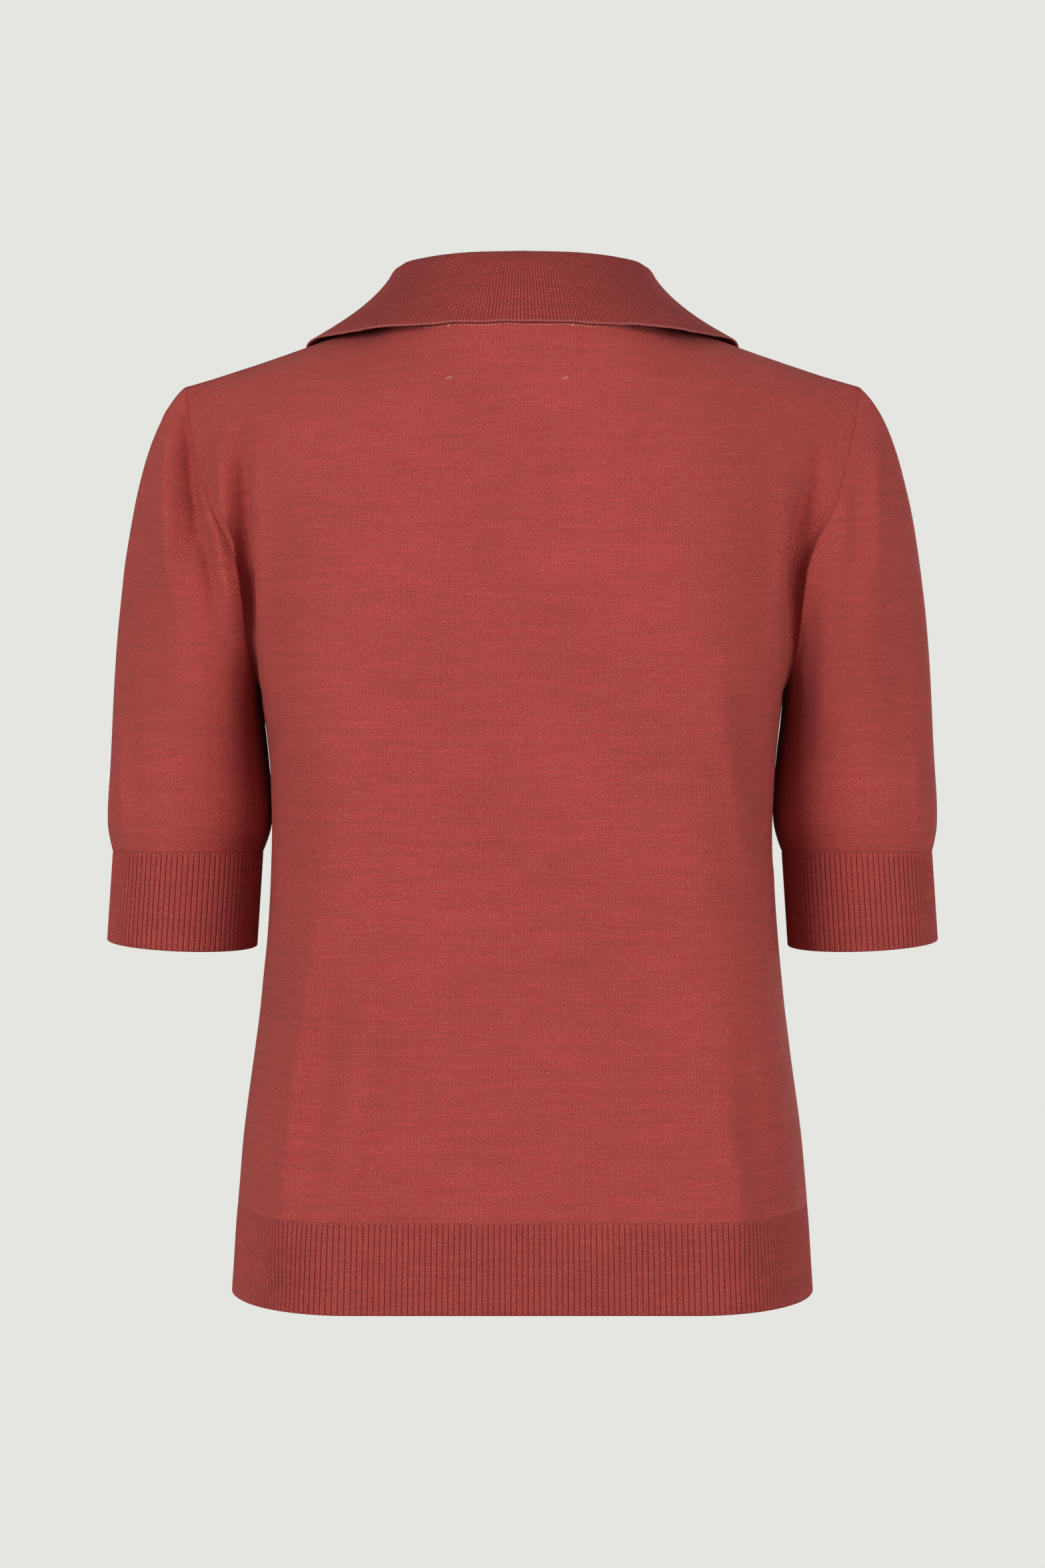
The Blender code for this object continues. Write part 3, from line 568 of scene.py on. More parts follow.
# one knitted loop: how round and how split its legs are, how they lean and how it rises
loop = {"round": 2.6, "split": 7.0, "splitDepth": 0.2, "lean": 1.3, "blunt": 0.9, "rise": 0.6}

jerseyKnit = {
    "wander": (1.2, 0.8),
    "gap": 0.55,
    # painted light from one side: one leg of each loop lighter, the other darker, and its bump
    # tilted
    "legShadeTilt": (0.2, 0.8, 1.08, 0.9),
    "purlWave": 0.14,
    "purlRound": 0.7,
    # low, high and share of the painted shade low between the loops and of the painted highlight on
    # their tops
    "gapShade": (0.85, 0.1, 0.5),
    "light": (0.62, 0.95, 0.16),
    "depth": 0.36,
}

# gaps and gutterShadeShares come first for ribs one wale wide, then for two; gutterShadeShares is
# how far the gutters are painted dark as shade
ribKnit = {
    "wander": (0.10, 0.5),
    "gaps": (0.7, 0.35),
    "gutter": (0.38, 0.48),
    "gutterShadeShares": (0.62, 0.48),
    "gutterGrain": (2.0, 0.5, 0.0, 2.0, 0.5),
    "gutterRange": (0.25, 0.6, 0.55, 1.0),
    # painted shade between the loops and painted highlight on their tops: low, high and share
    "gapShade": (0.85, 0.2, 0.4),
    "light": (0.62, 0.95, 0.12),
    "selvedge": (1.5, 0.8, 0.14),
    "depth": 0.34,
}


def grain(n, u, v, setting):
    across, along, place, detail, roughness = setting
    return n.noise(n.vector(u * across, v * along, place), 1.0, detail, roughness)


def heatherAndHighlights(n, u, v, base):
    # heathered yarn: light flecks that are partly the yarn and partly painted highlight on the
    # fuzz, dark flecks, streaks along the courses and wide soft patches
    fleckAndHighlight = grain(n, u, v, knit["fleckGrain"])
    colour = base
    for limits, tint in zip(knit["fleckRanges"], ("fleckAndHighlight", "shade")):
        colour = n.mix(n.span(fleckAndHighlight, *limits) * knit["fleckShare"], colour, knit[tint])
    for setting, change in knit["tones"]:
        tone = n.span(grain(n, u, v, setting), *knit["toneRange"], 1.0 - change, 1.0 + change)
        colour = n.mix(1.0, colour, n.vector(tone, tone, tone), "MULTIPLY")
    return colour


def loopShadeAndHighlight(n, colour, stitch, settings):
    # painted shade where the loop is low, painted highlight where it is high
    for key, tint in (("gapShade", "shade"), ("light", "fleckAndHighlight")):
        low, high, share = settings[key]
        colour = n.mix(n.span(stitch, low, high) * share, colour, knit[tint])
    return colour


def finishKnit(n, colour, height, depth, u, v):
    fuzz = n.noise(n.vector(u, v, 0.0), *knit["fuzzGrain"])
    n.feed(n.shader.inputs["Base Color"], colour)
    ports = {"Height": height + fuzz * knit["fuzz"], "Strength": 1.0, "Distance": depth * mm}
    n.feed(n.shader.inputs["Normal"], n.add("ShaderNodeBump", None, ports))
    for port, value in knit["finish"].items():
        n.shader.inputs[port].default_value = value
    return n.material


def stitchLoop(n, across, v, gap):
    # two legs that lean together, low between the wales, where the colour gets painted shade
    side = (across - 0.5).abs()
    hump = (1.0 - (side * 2.0) ** loop["round"]).most(0.0)
    hump = hump - (1.0 - side * loop["split"]).most(0.0) * loop["splitDepth"]
    rise = (v / knit["course"] - side * loop["lean"]).fract()
    arch = (rise * math.pi).sine().most(0.0) ** loop["blunt"]
    return (hump * gap + (1.0 - gap)) * (arch * loop["rise"] + (1.0 - loop["rise"]))


def uneven(n, u, v, amount):
    # how rows and wales wander, widely and closely
    wide, close = (
        n.noise(n.vector(u * across, v * along, place), 1.0, detail) - 0.5
        for across, along, place, detail in knit["wander"]
    )
    return wide * amount + close * amount * knit["closeWander"]


def jerseyMaterial(name, base, purl=False):
    n = Nodes(name)
    u, v = n.place()
    across = (u / knit["wale"] + uneven(n, u, v, jerseyKnit["wander"][0])).fract()
    lift = v + uneven(n, v, u, jerseyKnit["wander"][1])
    if purl:
        wave = (across * (2.0 * math.pi)).cosine() * jerseyKnit["purlWave"]
        row = (lift / knit["course"] + wave).fract()
        stitch = (row * math.pi).sine().most(0.0) ** jerseyKnit["purlRound"]
    else:
        stitch = stitchLoop(n, across, lift, jerseyKnit["gap"])
        # one leg of each loop painted lighter and the other darker, as light from one side
        stitch = stitch * n.span(across, *jerseyKnit["legShadeTilt"])
    colour = loopShadeAndHighlight(n, heatherAndHighlights(n, u, v, base), stitch, jerseyKnit)
    return finishKnit(n, colour, stitch, jerseyKnit["depth"], u, v)


def ribMaterial(name, base, wales, millimetres, selvedge=False):
    # u counts ribs here and v is in mm
    n = Nodes(name)
    u, v = n.place()
    across = (u + uneven(n, u * 3.0, v, ribKnit["wander"][0])).fract()
    broken = n.span(grain(n, u, v, ribKnit["gutterGrain"]), *ribKnit["gutterRange"])
    gutter = n.span((across - 0.5).abs(), *ribKnit["gutter"]) * broken
    wide = u * millimetres
    lift = v + uneven(n, v, wide, ribKnit["wander"][1])
    stitch = stitchLoop(n, (across * wales).fract(), lift, ribKnit["gaps"][wales - 1])
    colour = loopShadeAndHighlight(n, heatherAndHighlights(n, wide, v, base), stitch, ribKnit)
    # painted shade in the gutters, over their modelled depth
    colour = n.mix(gutter * ribKnit["gutterShadeShares"][wales - 1], colour, knit["gutter"])
    if selvedge:
        low, high, share = ribKnit["selvedge"]
        colour = n.mix(n.span(v, low, high) * share, colour, knit["fleckAndHighlight"])
    return finishKnit(n, colour, stitch * (1.0 - gutter), ribKnit["depth"], wide, v)


jersey = jerseyMaterial("jerseyFace", knit["jersey"])
jerseyInside = jerseyMaterial("jerseyPurl", knit["jersey"], purl=True)
bandRib = ribMaterial("bandRib", knit["rib"], 2, 2.95)
collarRib = ribMaterial("collarRib", knit["collar"], 1, 1.6, selvedge=True)
print("materials ready")

# fold: side (-1 back, 1 front), start x z, end x z, half width, height
panelFolds = (
    (-1, -108, -318, -131, -518, 6.5, 4.6),
    (-1, -94, -336, -115, -492, 8, -4),
    (-1, -74, -350, -94, -488, 9, 3.4),
    (-1, 103, -412, 118, -504, 6.5, 3.6),
    (-1, 116, -380, 130, -488, 7, -3.2),
    (-1, 99, -196, 125, -330, 7.5, 4),
    (-1, 112, -192, 134, -304, 7, -3.2),
    (-1, -152.5, -58, -147, -176, 4.6, -9),
    (-1, -164, -62, -156, -146, 5, 6.5),
    (-1, -143, -72, -138, -224, 6, 3.4),
    (-1, -147.5, -128, -145, -216, 3.6, -3.4),
    (-1, 161, -66, 146.5, -140, 3.6, -4.6),
    (-1, 149.5, -98, 143, -190, 3.8, -6),
    (-1, 157, -80, 148, -160, 7, -3),
    (-1, 141, -80, 132, -222, 6, 3.2),
    (1, -92, -262, -112, -470, 12, 2.2),
    (1, 88, -262, 104, -482, 12, 2.4),
    (1, -62, -330, -74, -476, 13, -1.8),
    (1, 58, -350, 66, -478, 13, -1.6),
    (1, -147, -96, -140, -212, 4.4, -6),
    (1, 148, -92, 140, -212, 4.4, -6.4),
    (1, -134, -120, -128, -214, 8, 2.2),
    (1, 134, -126, 129, -210, 8, 2),
)


def settled(points, lowRows, out):
    # the corner of the top edge at the high shoulder point fades out below it
    rows = len(points)
    below = runLength(points[::-1], 0)[::-1].mean(axis=1)
    rise = np.clip((np.arange(rows) - lowRows) / (rows - 1 - lowRows), 0, 1)
    depth = np.clip(below / body["easeDepth"], 0, 1)
    count = body["easePasses"] * depth * np.clip(rise / body["easeRise"], 0, 1)
    keep = np.clip((1.0 - out) / body["easeSide"], 0, 1)[None, 1:-1, None]
    points = points.copy()
    for k in range(body["easePasses"]):
        now = count > k
        line = points[now]
        middle = line[:, 1:-1]
        line[:, 1:-1] = middle + keep * ((line[:, :-2] + line[:, 2:]) / 4 - middle / 2)
        points[now] = line
    return points


def panelGrid(side):
    # rows from the hem rib up to the top edge, columns from side seam to side seam
    z0, z1 = body["hemTop"], body["underarm"]
    lowRows = int(round((z1 - z0) / body["rowStep"]))
    highRows = int(round(body["riseLength"] / body["rowStep"]))
    half = int(round(body["halfRound"] / body["columnStep"]))
    neckColumns = int(round(half * body["neckColumns"]))
    stops = (0, neckColumns, half), (0.0, body["neckShare"], 1.0)
    share = np.interp(np.arange(half + 1), *stops)
    share = np.concatenate([-share[:0:-1], share])
    lower = onGrid(bodySection, side, share, np.linspace(z0, z1, lowRows + 1))
    upper = onGrid(upperBody, side, share, np.linspace(0, 1, highRows + 1)[1:])
    points = np.concatenate([lower, upper])
    out = np.abs(share)
    points = settled(points, lowRows, out)
    if side > 0:
        points = points[:, ::-1]
    rows = np.linspace(0, 1, len(points))
    nearSide = np.clip((1.0 - out) / body["foldEnds"][0], 0, 1)[None, :]
    nearTop = np.clip((1.0 - rows) / body["foldEnds"][1], 0, 1)[:, None]
    height = foldHeight(panelFolds, side, points) * nearSide * nearTop
    waves = softWaves(points, body["waveSeed"] * side) * nearSide
    points = creased(points, gridNormals(points), height, waves)
    return points, gridNormals(points), lowRows, share


def panelUv(points):
    middle = points.shape[1] // 2
    across = runLength(points * (1.0, 1.0, 0.0), 1)
    across = across - across[:, middle : middle + 1]
    return np.stack([across, runLength(points * (0.0, 1.0, 1.0), 0)], axis=-1)


panelGrids = {side: panelGrid(side) for side in (-1, 1)}
pieces = {}
print("panels laid")

sleeve = {
    # share round from the underarm over the back, lean off the armhole, lean into the cuff
    "lean": (
        (0.00, -1, 1, -24, -7, 0, 34),
        (0.12, 9, -9, -34, -4.5, -4, 44),
        (0.25, 17, -11, -44, 0, -7, 62),
        (0.38, 27, -9, -48, 1.6, -5, 82),
        (0.50, 35, 0, -27, 3.4, 0, 93),
        (0.62, 27, 9, -48, 1.6, 5, 82),
        (0.75, 17, 11, -44, 0, 7, 62),
        (0.88, 9, 9, -34, -4.5, 4, 44),
        (1.00, -1, 1, -24, -7, 0, 34),
    ),
    "swell": 2.3,
    "swellCentre": 16.0,
    "swellReach": 30.0,
    "swellStart": 17.0,
    "clearance": 0.9,
    "clearBelow": 1.8,
    "columns": 132,
    "rows": 84,
    "seams": (0.12, 0.4, None, None),
    "waveSeeds": {1: 11.0, -1: 23.0},
    # folds end within these shares of the armhole and of the cuff
    "foldEnds": (0.025, 0.08),
}

# the sleeves' folds, drawn on the right sleeve; the left one is its mirror image with its own
sleeveFolds = {
    -1: (
        (-1, 185, -46, 178, -140, 5, -8.5),
        (-1, 180, -92, 157, -184, 5.5, -8),
        (-1, 193, -44, 189.5, -158, 5, 8),
        (-1, 168, -98, 157, -180, 5, 5.5),
        (-1, 190, -116, 172, -232, 9, 2.6),
        (-1, 206, -120, 193, -250, 9, -2.2),
        (-1, 218, -212, 216, -312, 4, 4.2),
        (-1, 224.5, -224, 223, -306, 2.8, -2.6),
        (1, 184, -50, 176, -122, 5.5, -4.4),
        (1, 178, -84, 156, -170, 6, -5),
        (1, 188, -104, 171, -240, 11, 2.4),
        (1, 204, -140, 196, -250, 9, -1.8),
    ),
    1: (
        (-1, 182, -82, 179, -150, 5, -2.2),
        (-1, 192.5, -60, 191, -146, 4.6, 2.6),
        (-1, 172, -104, 163, -186, 6, 2.6),
        (-1, 158, -132, 151, -250, 6, -3.2),
        (-1, 190, -116, 176, -236, 9, 2),
        (-1, 208, -150, 198, -262, 9, -2),
        (-1, 214, -232, 216, -306, 4, 1.8),
        (1, 184, -52, 176, -116, 5.5, -3.8),
        (1, 179, -86, 158, -174, 6, -4.6),
        (1, 190, -100, 176, -232, 11, 2.2),
        (1, 202, -150, 197, -256, 9, -1.8),
    ),
}

cuff = {
    "top": -292.0,
    "centre": (184.6, 6.0),
    "halfWidth": 41.4,
    "halfDepth": 46.0,
    "length": 50.6,
    "lean": (3.6, 3.6),
    "tilt": (4.0, 6.0),
    "ribs": 86,
    "rows": 20,
    "gutter": 0.75,
}


def armholeLoop(share):
    # the panels' own armhole, from the underarm over the back and down the front
    back = panelGrids[-1][0][panelGrids[-1][2]:, -1]
    front = panelGrids[1][0][panelGrids[1][2]:, 0]
    loop = np.concatenate([back, front[::-1][1:]])
    loop[[0, -1], 1] = 0.0
    run = runLength(loop, 0)
    half = run[len(back) - 1]
    at = np.where(share < 0.5, share * 2 * half, half + (share - 0.5) * 2 * (run[-1] - half))
    return alongLine(at, run, loop), run, at


def cuffRing(share, fall):
    angle = 2.0 * np.pi * share
    inward, back = np.cos(angle), np.sin(angle)
    x = cuff["centre"][0] + cuff["lean"][0] * fall - cuff["halfWidth"] * inward
    y = cuff["centre"][1] + cuff["lean"][1] * fall - cuff["halfDepth"] * back
    length = cuff["length"] + 0.5 * (cuff["tilt"][0] * inward + cuff["tilt"][1] * back)
    z = cuff["top"] - fall * length
    return np.stack([x, y, z], axis=1)


def sleeveGrid(hand):
    # rows from the cuff up to the armhole, columns from the underarm over the back
    u = np.linspace(0, 1, sleeve["columns"] + 1)
    v = np.linspace(0, 1, sleeve["rows"] + 1)
    uu, vv = (a.ravel() for a in np.meshgrid(u, v))
    start = armholeLoop(uu)[0]
    end = cuffRing(uu, np.zeros_like(uu))
    lean = smoothRows(sleeve["lean"], uu)
    points = bezier(start, start + lean[:, :3], end + lean[:, 3:], end, vv)
    outward = unit(points[:, :2] - np.array(cuff["centre"]))
    above = points[:, 2] - cuff["top"]
    reach = np.exp(-(((above - sleeve["swellCentre"]) / sleeve["swellReach"]) ** 2))
    start = np.clip(above / sleeve["swellStart"], 0, 1)
    swell = sleeve["swell"] * start * (2.0 - start) * reach
    points[:, :2] += outward * swell[:, None]
    clear = bodySideX(points[:, 1], np.minimum(points[:, 2], body["underarm"]))
    clear = clear + sleeve["clearance"]
    under = points[:, 2] < body["underarm"] - sleeve["clearBelow"]
    points[:, 0] = np.where(under, np.maximum(points[:, 0], clear), points[:, 0])
    points = points.reshape(len(v), len(u), 3)[::-1]
    rise = 1.0 - v[::-1][:, None]
    height = sum(
        foldHeight(sleeveFolds[hand], side, points) * (np.sign(points[..., 1]) == side)
        for side in (-1, 1)
    )
    armholeEnd, cuffEnd = sleeve["foldEnds"]
    fade = np.clip((1.0 - rise) / armholeEnd, 0, 1) * np.clip(rise / cuffEnd, 0, 1)
    waves = softWaves(points, sleeve["waveSeeds"][hand])
    points = creased(points, gridNormals(points, closed=True), height * fade, waves * fade)
    return points, gridNormals(points, closed=True)


# both sides of the armhole seam share one normal, so that they meet in one line
sleeveNormals = sleeveGrid(1)[1]
columnShares = np.linspace(0, 1, sleeve["columns"] + 1)
_, loopRun, sleeveRun = armholeLoop(columnShares)
backRows = len(panelGrids[-1][0]) - panelGrids[-1][2]
onLoop = alongLine(loopRun, sleeveRun, sleeveNormals[-1])
backEdge = panelGrids[-1][1][panelGrids[-1][2]:, -1]
frontEdge = panelGrids[1][1][panelGrids[1][2]:, 0][::-1]
shared = unit(backEdge[-1:] + frontEdge[:1])
panelLoop = np.concatenate([backEdge[:-1], shared, frontEdge[1:]])
panelLoop[[0, -1]] = unit(panelLoop[0] + panelLoop[-1])
loopNormals = unit(unit(onLoop) + panelLoop)
sleeveNormals[-1] = unit(alongLine(sleeveRun, loopRun, loopNormals))

mirror = np.array([-1.0, 1.0, 1.0])
slope = np.array([-body["shoulder"][2], 0.0, body["shoulder"][0] - body["neckHalf"]])
for side, name in ((-1, "back"), (1, "front")):
    points, normals, lowRows, share = panelGrids[side]
    normals = normals.copy()
    onShoulder = np.abs(points[-1][:, 0]) > body["neckHalf"] - 0.01
    onLeft = points[-1][onShoulder][:, :1] < 0
    normals[-1][onShoulder] = unit(slope) * np.where(onLeft, mirror, 1.0)
    edge = loopNormals[:backRows] if side < 0 else loopNormals[backRows - 1:][::-1]
    right, left = (-1, 0) if side < 0 else (0, -1)
    normals[lowRows:, right] = edge
    normals[lowRows:, left] = edge * mirror
    normals[:lowRows, right] = (1.0, 0.0, 0.0)
    normals[:lowRows, left] = (-1.0, 0.0, 0.0)
    layers = layCloth(points, normals, panelUv(points), body["wall"], body["seams"])
    pieces[name] = clothMesh(name + "Jersey", *layers, [jersey, jerseyInside])

hem = {"ribsASide": 156, "rows": 20, "gutter": 0.7, "foldEnds": 0.06}

band = {
    # a rib's cross section: place across it and depth as a share of the gutter
    "rib": (
        (0.0, 1.0), (0.08, 0.62), (0.17, 0.14), (0.32, 0.0),
        (0.5, 0.14), (0.68, 0.0), (0.83, 0.14), (0.92, 0.62),
    ),
    # the ribs rise out of the seam over this length, from this share of their depth
    "ribStart": 2.2,
    "ribLeast": 0.12,
    "wall": 1.3,
    "topSeam": 0.12,
    "sideSeam": 0.4,
}


def ribShares(count, section):
    base = np.array([t for t, _ in section])
    depth = np.array([d for _, d in section])
    shares = (np.arange(count)[:, None] + base[None, :]).ravel() / count
    depths = np.tile(depth, count)
    return np.append(shares, 1.0), np.append(depths, depth[0])


def bandMesh(name, points, normals, depths, ribU, alongV, gutter, closed):
    fade = np.clip(alongV / band["ribStart"], band["ribLeast"], 1.0)
    points = points - normals * (depths[None, :] * fade)[..., None] * gutter
    uv = np.stack([np.broadcast_to(ribU[None, :], points.shape[:2]), alongV], axis=-1)
    side = None if closed else band["sideSeam"]
    edges = (band["topSeam"], "rim", side, side)
    layers = layCloth(points, normals, uv, band["wall"], edges)
    return clothMesh(name, *layers, [bandRib], closed)


for side, name in ((-1, "Back"), (1, "Front")):
    shares, depths = ribShares(hem["ribsASide"], band["rib"])
    falls = np.linspace(0, 1, hem["rows"] + 1)
    levels = body["hemTop"] + (body["hemBottom"] - body["hemTop"]) * falls
    points = onGrid(bodySection, side, shares * 2 - 1, levels)
    if side < 0:
        points = points[:, ::-1]
    normals = gridNormals(points)
    normals[:, 0] = (np.sign(points[0, 0, 0]), 0.0, 0.0)
    normals[:, -1] = (np.sign(points[0, -1, 0]), 0.0, 0.0)
    nearSide = np.clip((1.0 - np.abs(shares * 2 - 1)) / hem["foldEnds"], 0, 1)
    height = foldHeight(panelFolds, side, points) * nearSide
    waves = softWaves(points, body["waveSeed"] * side) * nearSide
    points = creased(points, normals, height, waves)
    fall = body["hemTop"] - points[..., 2]
    ribU = shares * hem["ribsASide"]
    pieces["hem" + name] = bandMesh(
        "hemRib" + name, points, normals, depths, ribU, fall, hem["gutter"], False
    )

for hand, name in ((1, "Right"), (-1, "Left")):
    points, normals = sleeveGrid(hand)
    normals[-1] = sleeveNormals[-1]
    across = runLength(points, 1)
    middle = sleeve["columns"] // 2
    across = across - across[:, middle : middle + 1]
    uv = np.stack([across, runLength(points, 0)], axis=-1)
    if hand < 0:
        points, normals = (points * mirror)[:, ::-1], (normals * mirror)[:, ::-1]
        uv = uv[:, ::-1] * (-1, 1)
    layers = layCloth(points, normals, uv, body["wall"], sleeve["seams"])
    pieces["sleeve" + name] = clothMesh("sleeve" + name, *layers, [jersey, jerseyInside], True)
    shares, depths = ribShares(cuff["ribs"], band["rib"])
    s, f = np.meshgrid(shares, np.linspace(0, 1, cuff["rows"] + 1))
    points = cuffRing(s.ravel(), f.ravel()).reshape(*s.shape, 3) * (hand, 1.0, 1.0)
    if hand > 0:
        points = points[:, ::-1]
    normals = gridNormals(points, closed=True)
    ribU, fall = shares * cuff["ribs"], f * cuff["length"]
    pieces["cuff" + name] = bandMesh(
        "cuff" + name, points, normals, depths, ribU, fall, cuff["gutter"], True
    )

collar = {
    # share along the neckline, fold xyz, outer edge xyz, roll radius, sag
    "stations": (
        (0.00, 0, -70, 27.3, 0, -95.5, -10.9, 4.2, 0),
        (0.14, 30, -66, 27.4, 44, -88.5, -10.6, 4.2, 0),
        (0.26, 51, -49, 27.4, 71, -75.5, -11, 4.2, 0.6),
        (0.36, 63.5, -24, 27.2, 96, -48, -12.2, 4, 1.6),
        (0.42, 66.5, -2, 25.4, 116, -5, -11, 4, 2.6),
        (0.52, 64, 22, 14.5, 119, 32, -23, 3.8, 5),
        (0.66, 54, 48, -13, 110, 60, -50, 3.6, 3),
        (0.82, 33, 76, -62, 93, 80, -81, 3, 2),
        (1.00, 4.4, 105.5, -126, 76, 94, -107, 2.6, 0),
    ),
    "turn": 0.42,
    "end": 0.988,
    "endGap": 1.6,
    "standSteps": 3,
    "rollSteps": 4,
    "fallSteps": 6,
    "standLeans": (0.3, 0.35),
    "fallLeans": (0.22, 0.35),
    "clearanceTurn": (0.45, 0.6),
    "clearances": (1.35, 2.0),
    # share along the neckline, how far the edge is drawn down to the panel
    "hugs": (
        (0, 0.92), (0.17, 0.92), (0.25, 0.5), (0.33, 0.12),
        (0.42, 0.15), (0.55, 0.8), (1, 0.92),
    ),
    # a panel that faces the eye by this much draws the fall along the line of sight
    "facing": -0.12,
    "nearSide": -3.0,
    "drawLimits": (-10.0, 22.0),
    "lieWay": (0.4, 1.0, 0.3),
    "lieLimit": 10.0,
    "smoothPasses": 80,
    "crossSmoothEvery": 20,
    # height of the edge's ripple, and length, share and place of its two waves
    "ripple": 0.6,
    "rippleWaves": ((14.0, 1.0, 4.0), (5.0, 0.3, 8.0)),
    "standSink": 0.9,
    "standInset": 0.25,
    "seamStep": 0.02,
    "wall": 1.3,
    "pitch": 1.62,
    "gutter": 0.2,
    "rows": (5, 6, 12),
    "rib": ((0.0, 1.0), (0.3, 0.12), (0.7, 0.12)),
    "plainEdge": (0.9, 1.2),
    # the ribs are spaced evenly at this level of the fall
    "ribLevel": 0.45,
    "ribTrials": 401,
}


def necklineSeam():
    # the panels' own neckline from the centre back to the base of the V, on the +X side
    back, backNormals, _, share = panelGrids[-1]
    front, frontNormals, _, _ = panelGrids[1]
    middle = len(share) // 2
    neck = np.nonzero(np.abs(share[middle:]) <= body["neckShare"] + 1e-9)[0][-1]
    onBack, onFront = slice(middle, middle + neck + 1), slice(middle - neck, middle + 1)
    a, aNormals = back[-1, onBack].copy(), backNormals[-1, onBack].copy()
    b, bNormals = front[-1, onFront], frontNormals[-1, onFront]
    a[-1, 1] = 0.0
    aNormals[-1] = unit(aNormals[-1] + bNormals[0])
    keys = np.concatenate([
        np.linspace(0, collar["turn"], len(a)), np.linspace(collar["turn"], 1, len(b))[1:]
    ])
    return keys, np.concatenate([a, b[1:]]), np.concatenate([aNormals, bNormals[1:]])


def collarGrid(shareList, sList):
    # shares along the neckline, and steps up the stand, over the roll and down the fall
    keys, edgePoints, edgeNormals = necklineSeam()
    share, s = (a.ravel() for a in np.meshgrid(np.abs(shareList), sList))
    base = alongLine(share, keys, edgePoints)
    normal = unit(alongLine(share, keys, edgeNormals))
    ahead, behind = (
        alongLine(np.clip(share + step, 0, 1), keys, edgePoints)
        for step in (collar["seamStep"], -collar["seamStep"])
    )
    inward = unit(np.cross(normal, unit(ahead - behind)))
    mirrored = tuple(
        (-k, -fx, fy, fz, -ex, *rest)
        for k, fx, fy, fz, ex, *rest in collar["stations"][2:0:-1]
    )
    stations = mirrored + collar["stations"]
    station = smoothRows(stations, share)
    fold, edge = station[:, :3], station[:, 3:6]
    roll, sag = station[:, 6:7], station[:, 7:8]
    base = base - normal * collar["standSink"] + inward * collar["standInset"]
    rise = unit(fold - base)
    fallRun = edge - fold
    out = unit(fallRun - rise * np.sum(fallRun * rise, axis=1, keepdims=True))
    innerFold = fold - (out + rise) * roll
    outerFold = fold + (out - rise) * roll
    length = np.linalg.norm(innerFold - base, axis=1, keepdims=True)
    standPoints = bezier(
        base, base + inward * length * collar["standLeans"][0],
        innerFold - rise * length * collar["standLeans"][1], innerFold, np.clip(s / stand, 0, 1),
    )
    angle = np.pi * np.clip((s - stand) / rollSteps, 0, 1)[:, None]
    rollPoints = fold - rise * roll - out * roll * np.cos(angle) + rise * roll * np.sin(angle)
    length = np.linalg.norm(edge - outerFold, axis=1, keepdims=True)
    chord = (edge - outerFold) / length
    face = unit(out - chord * np.sum(out * chord, axis=1, keepdims=True))
    fallPoints = bezier(
        outerFold, outerFold - rise * length * collar["fallLeans"][0],
        edge - chord * length * collar["fallLeans"][1] - face * sag, edge,
        np.clip((s - stand - rollSteps) / fallSteps, 0, 1),
    )
    points = np.where((s <= stand)[:, None], standPoints, rollPoints)
    points = np.where((s > stand + rollSteps)[:, None], fallPoints, points)
    points[:, 0] = np.maximum(points[:, 0], collar["endGap"] * (share > 0.5))
    points = points.reshape(len(sList), len(shareList), 3)
    points[..., 0] *= np.where(np.array(shareList) < 0, -1.0, 1.0)[None, :]
    return points


def panelSurface():
    # both panels above the underarm, to lay the collar on and to sew on
    vertices, faces = [], []
    for grid, _, lowRows, _ in panelGrids.values():
        rows, cols = grid.shape[:2]
        start = len(vertices)
        vertices.extend(Vector(p) for p in grid.reshape(-1, 3))
        for j in range(lowRows, rows - 1):
            for i in range(cols - 1):
                a = start + j * cols + i
                faces.append((a, a + 1, a + cols + 1, a + cols))
    return BVHTree.FromPolygons(vertices, faces)


stand, rollSteps, fallSteps = collar["standSteps"], collar["rollSteps"], collar["fallSteps"]
sList = np.concatenate([
    np.linspace(0, stand, collar["rows"][0] + 1),
    stand + np.linspace(0, rollSteps, collar["rows"][1] + 1)[1:],
    stand + rollSteps + np.linspace(0, fallSteps, collar["rows"][2] + 1)[1:],
])
trial = np.linspace(-collar["end"], collar["end"], collar["ribTrials"])
middle = collarGrid(trial, np.array([stand + rollSteps + fallSteps * collar["ribLevel"]]))
trialRun = runLength(middle, 1)[0]
ribCount = int(round(trialRun[-1] / collar["pitch"]))
shares, depths = ribShares(ribCount, collar["rib"])
shareList = np.interp(shares * trialRun[-1], trialRun, trial)
points = collarGrid(shareList, sList)

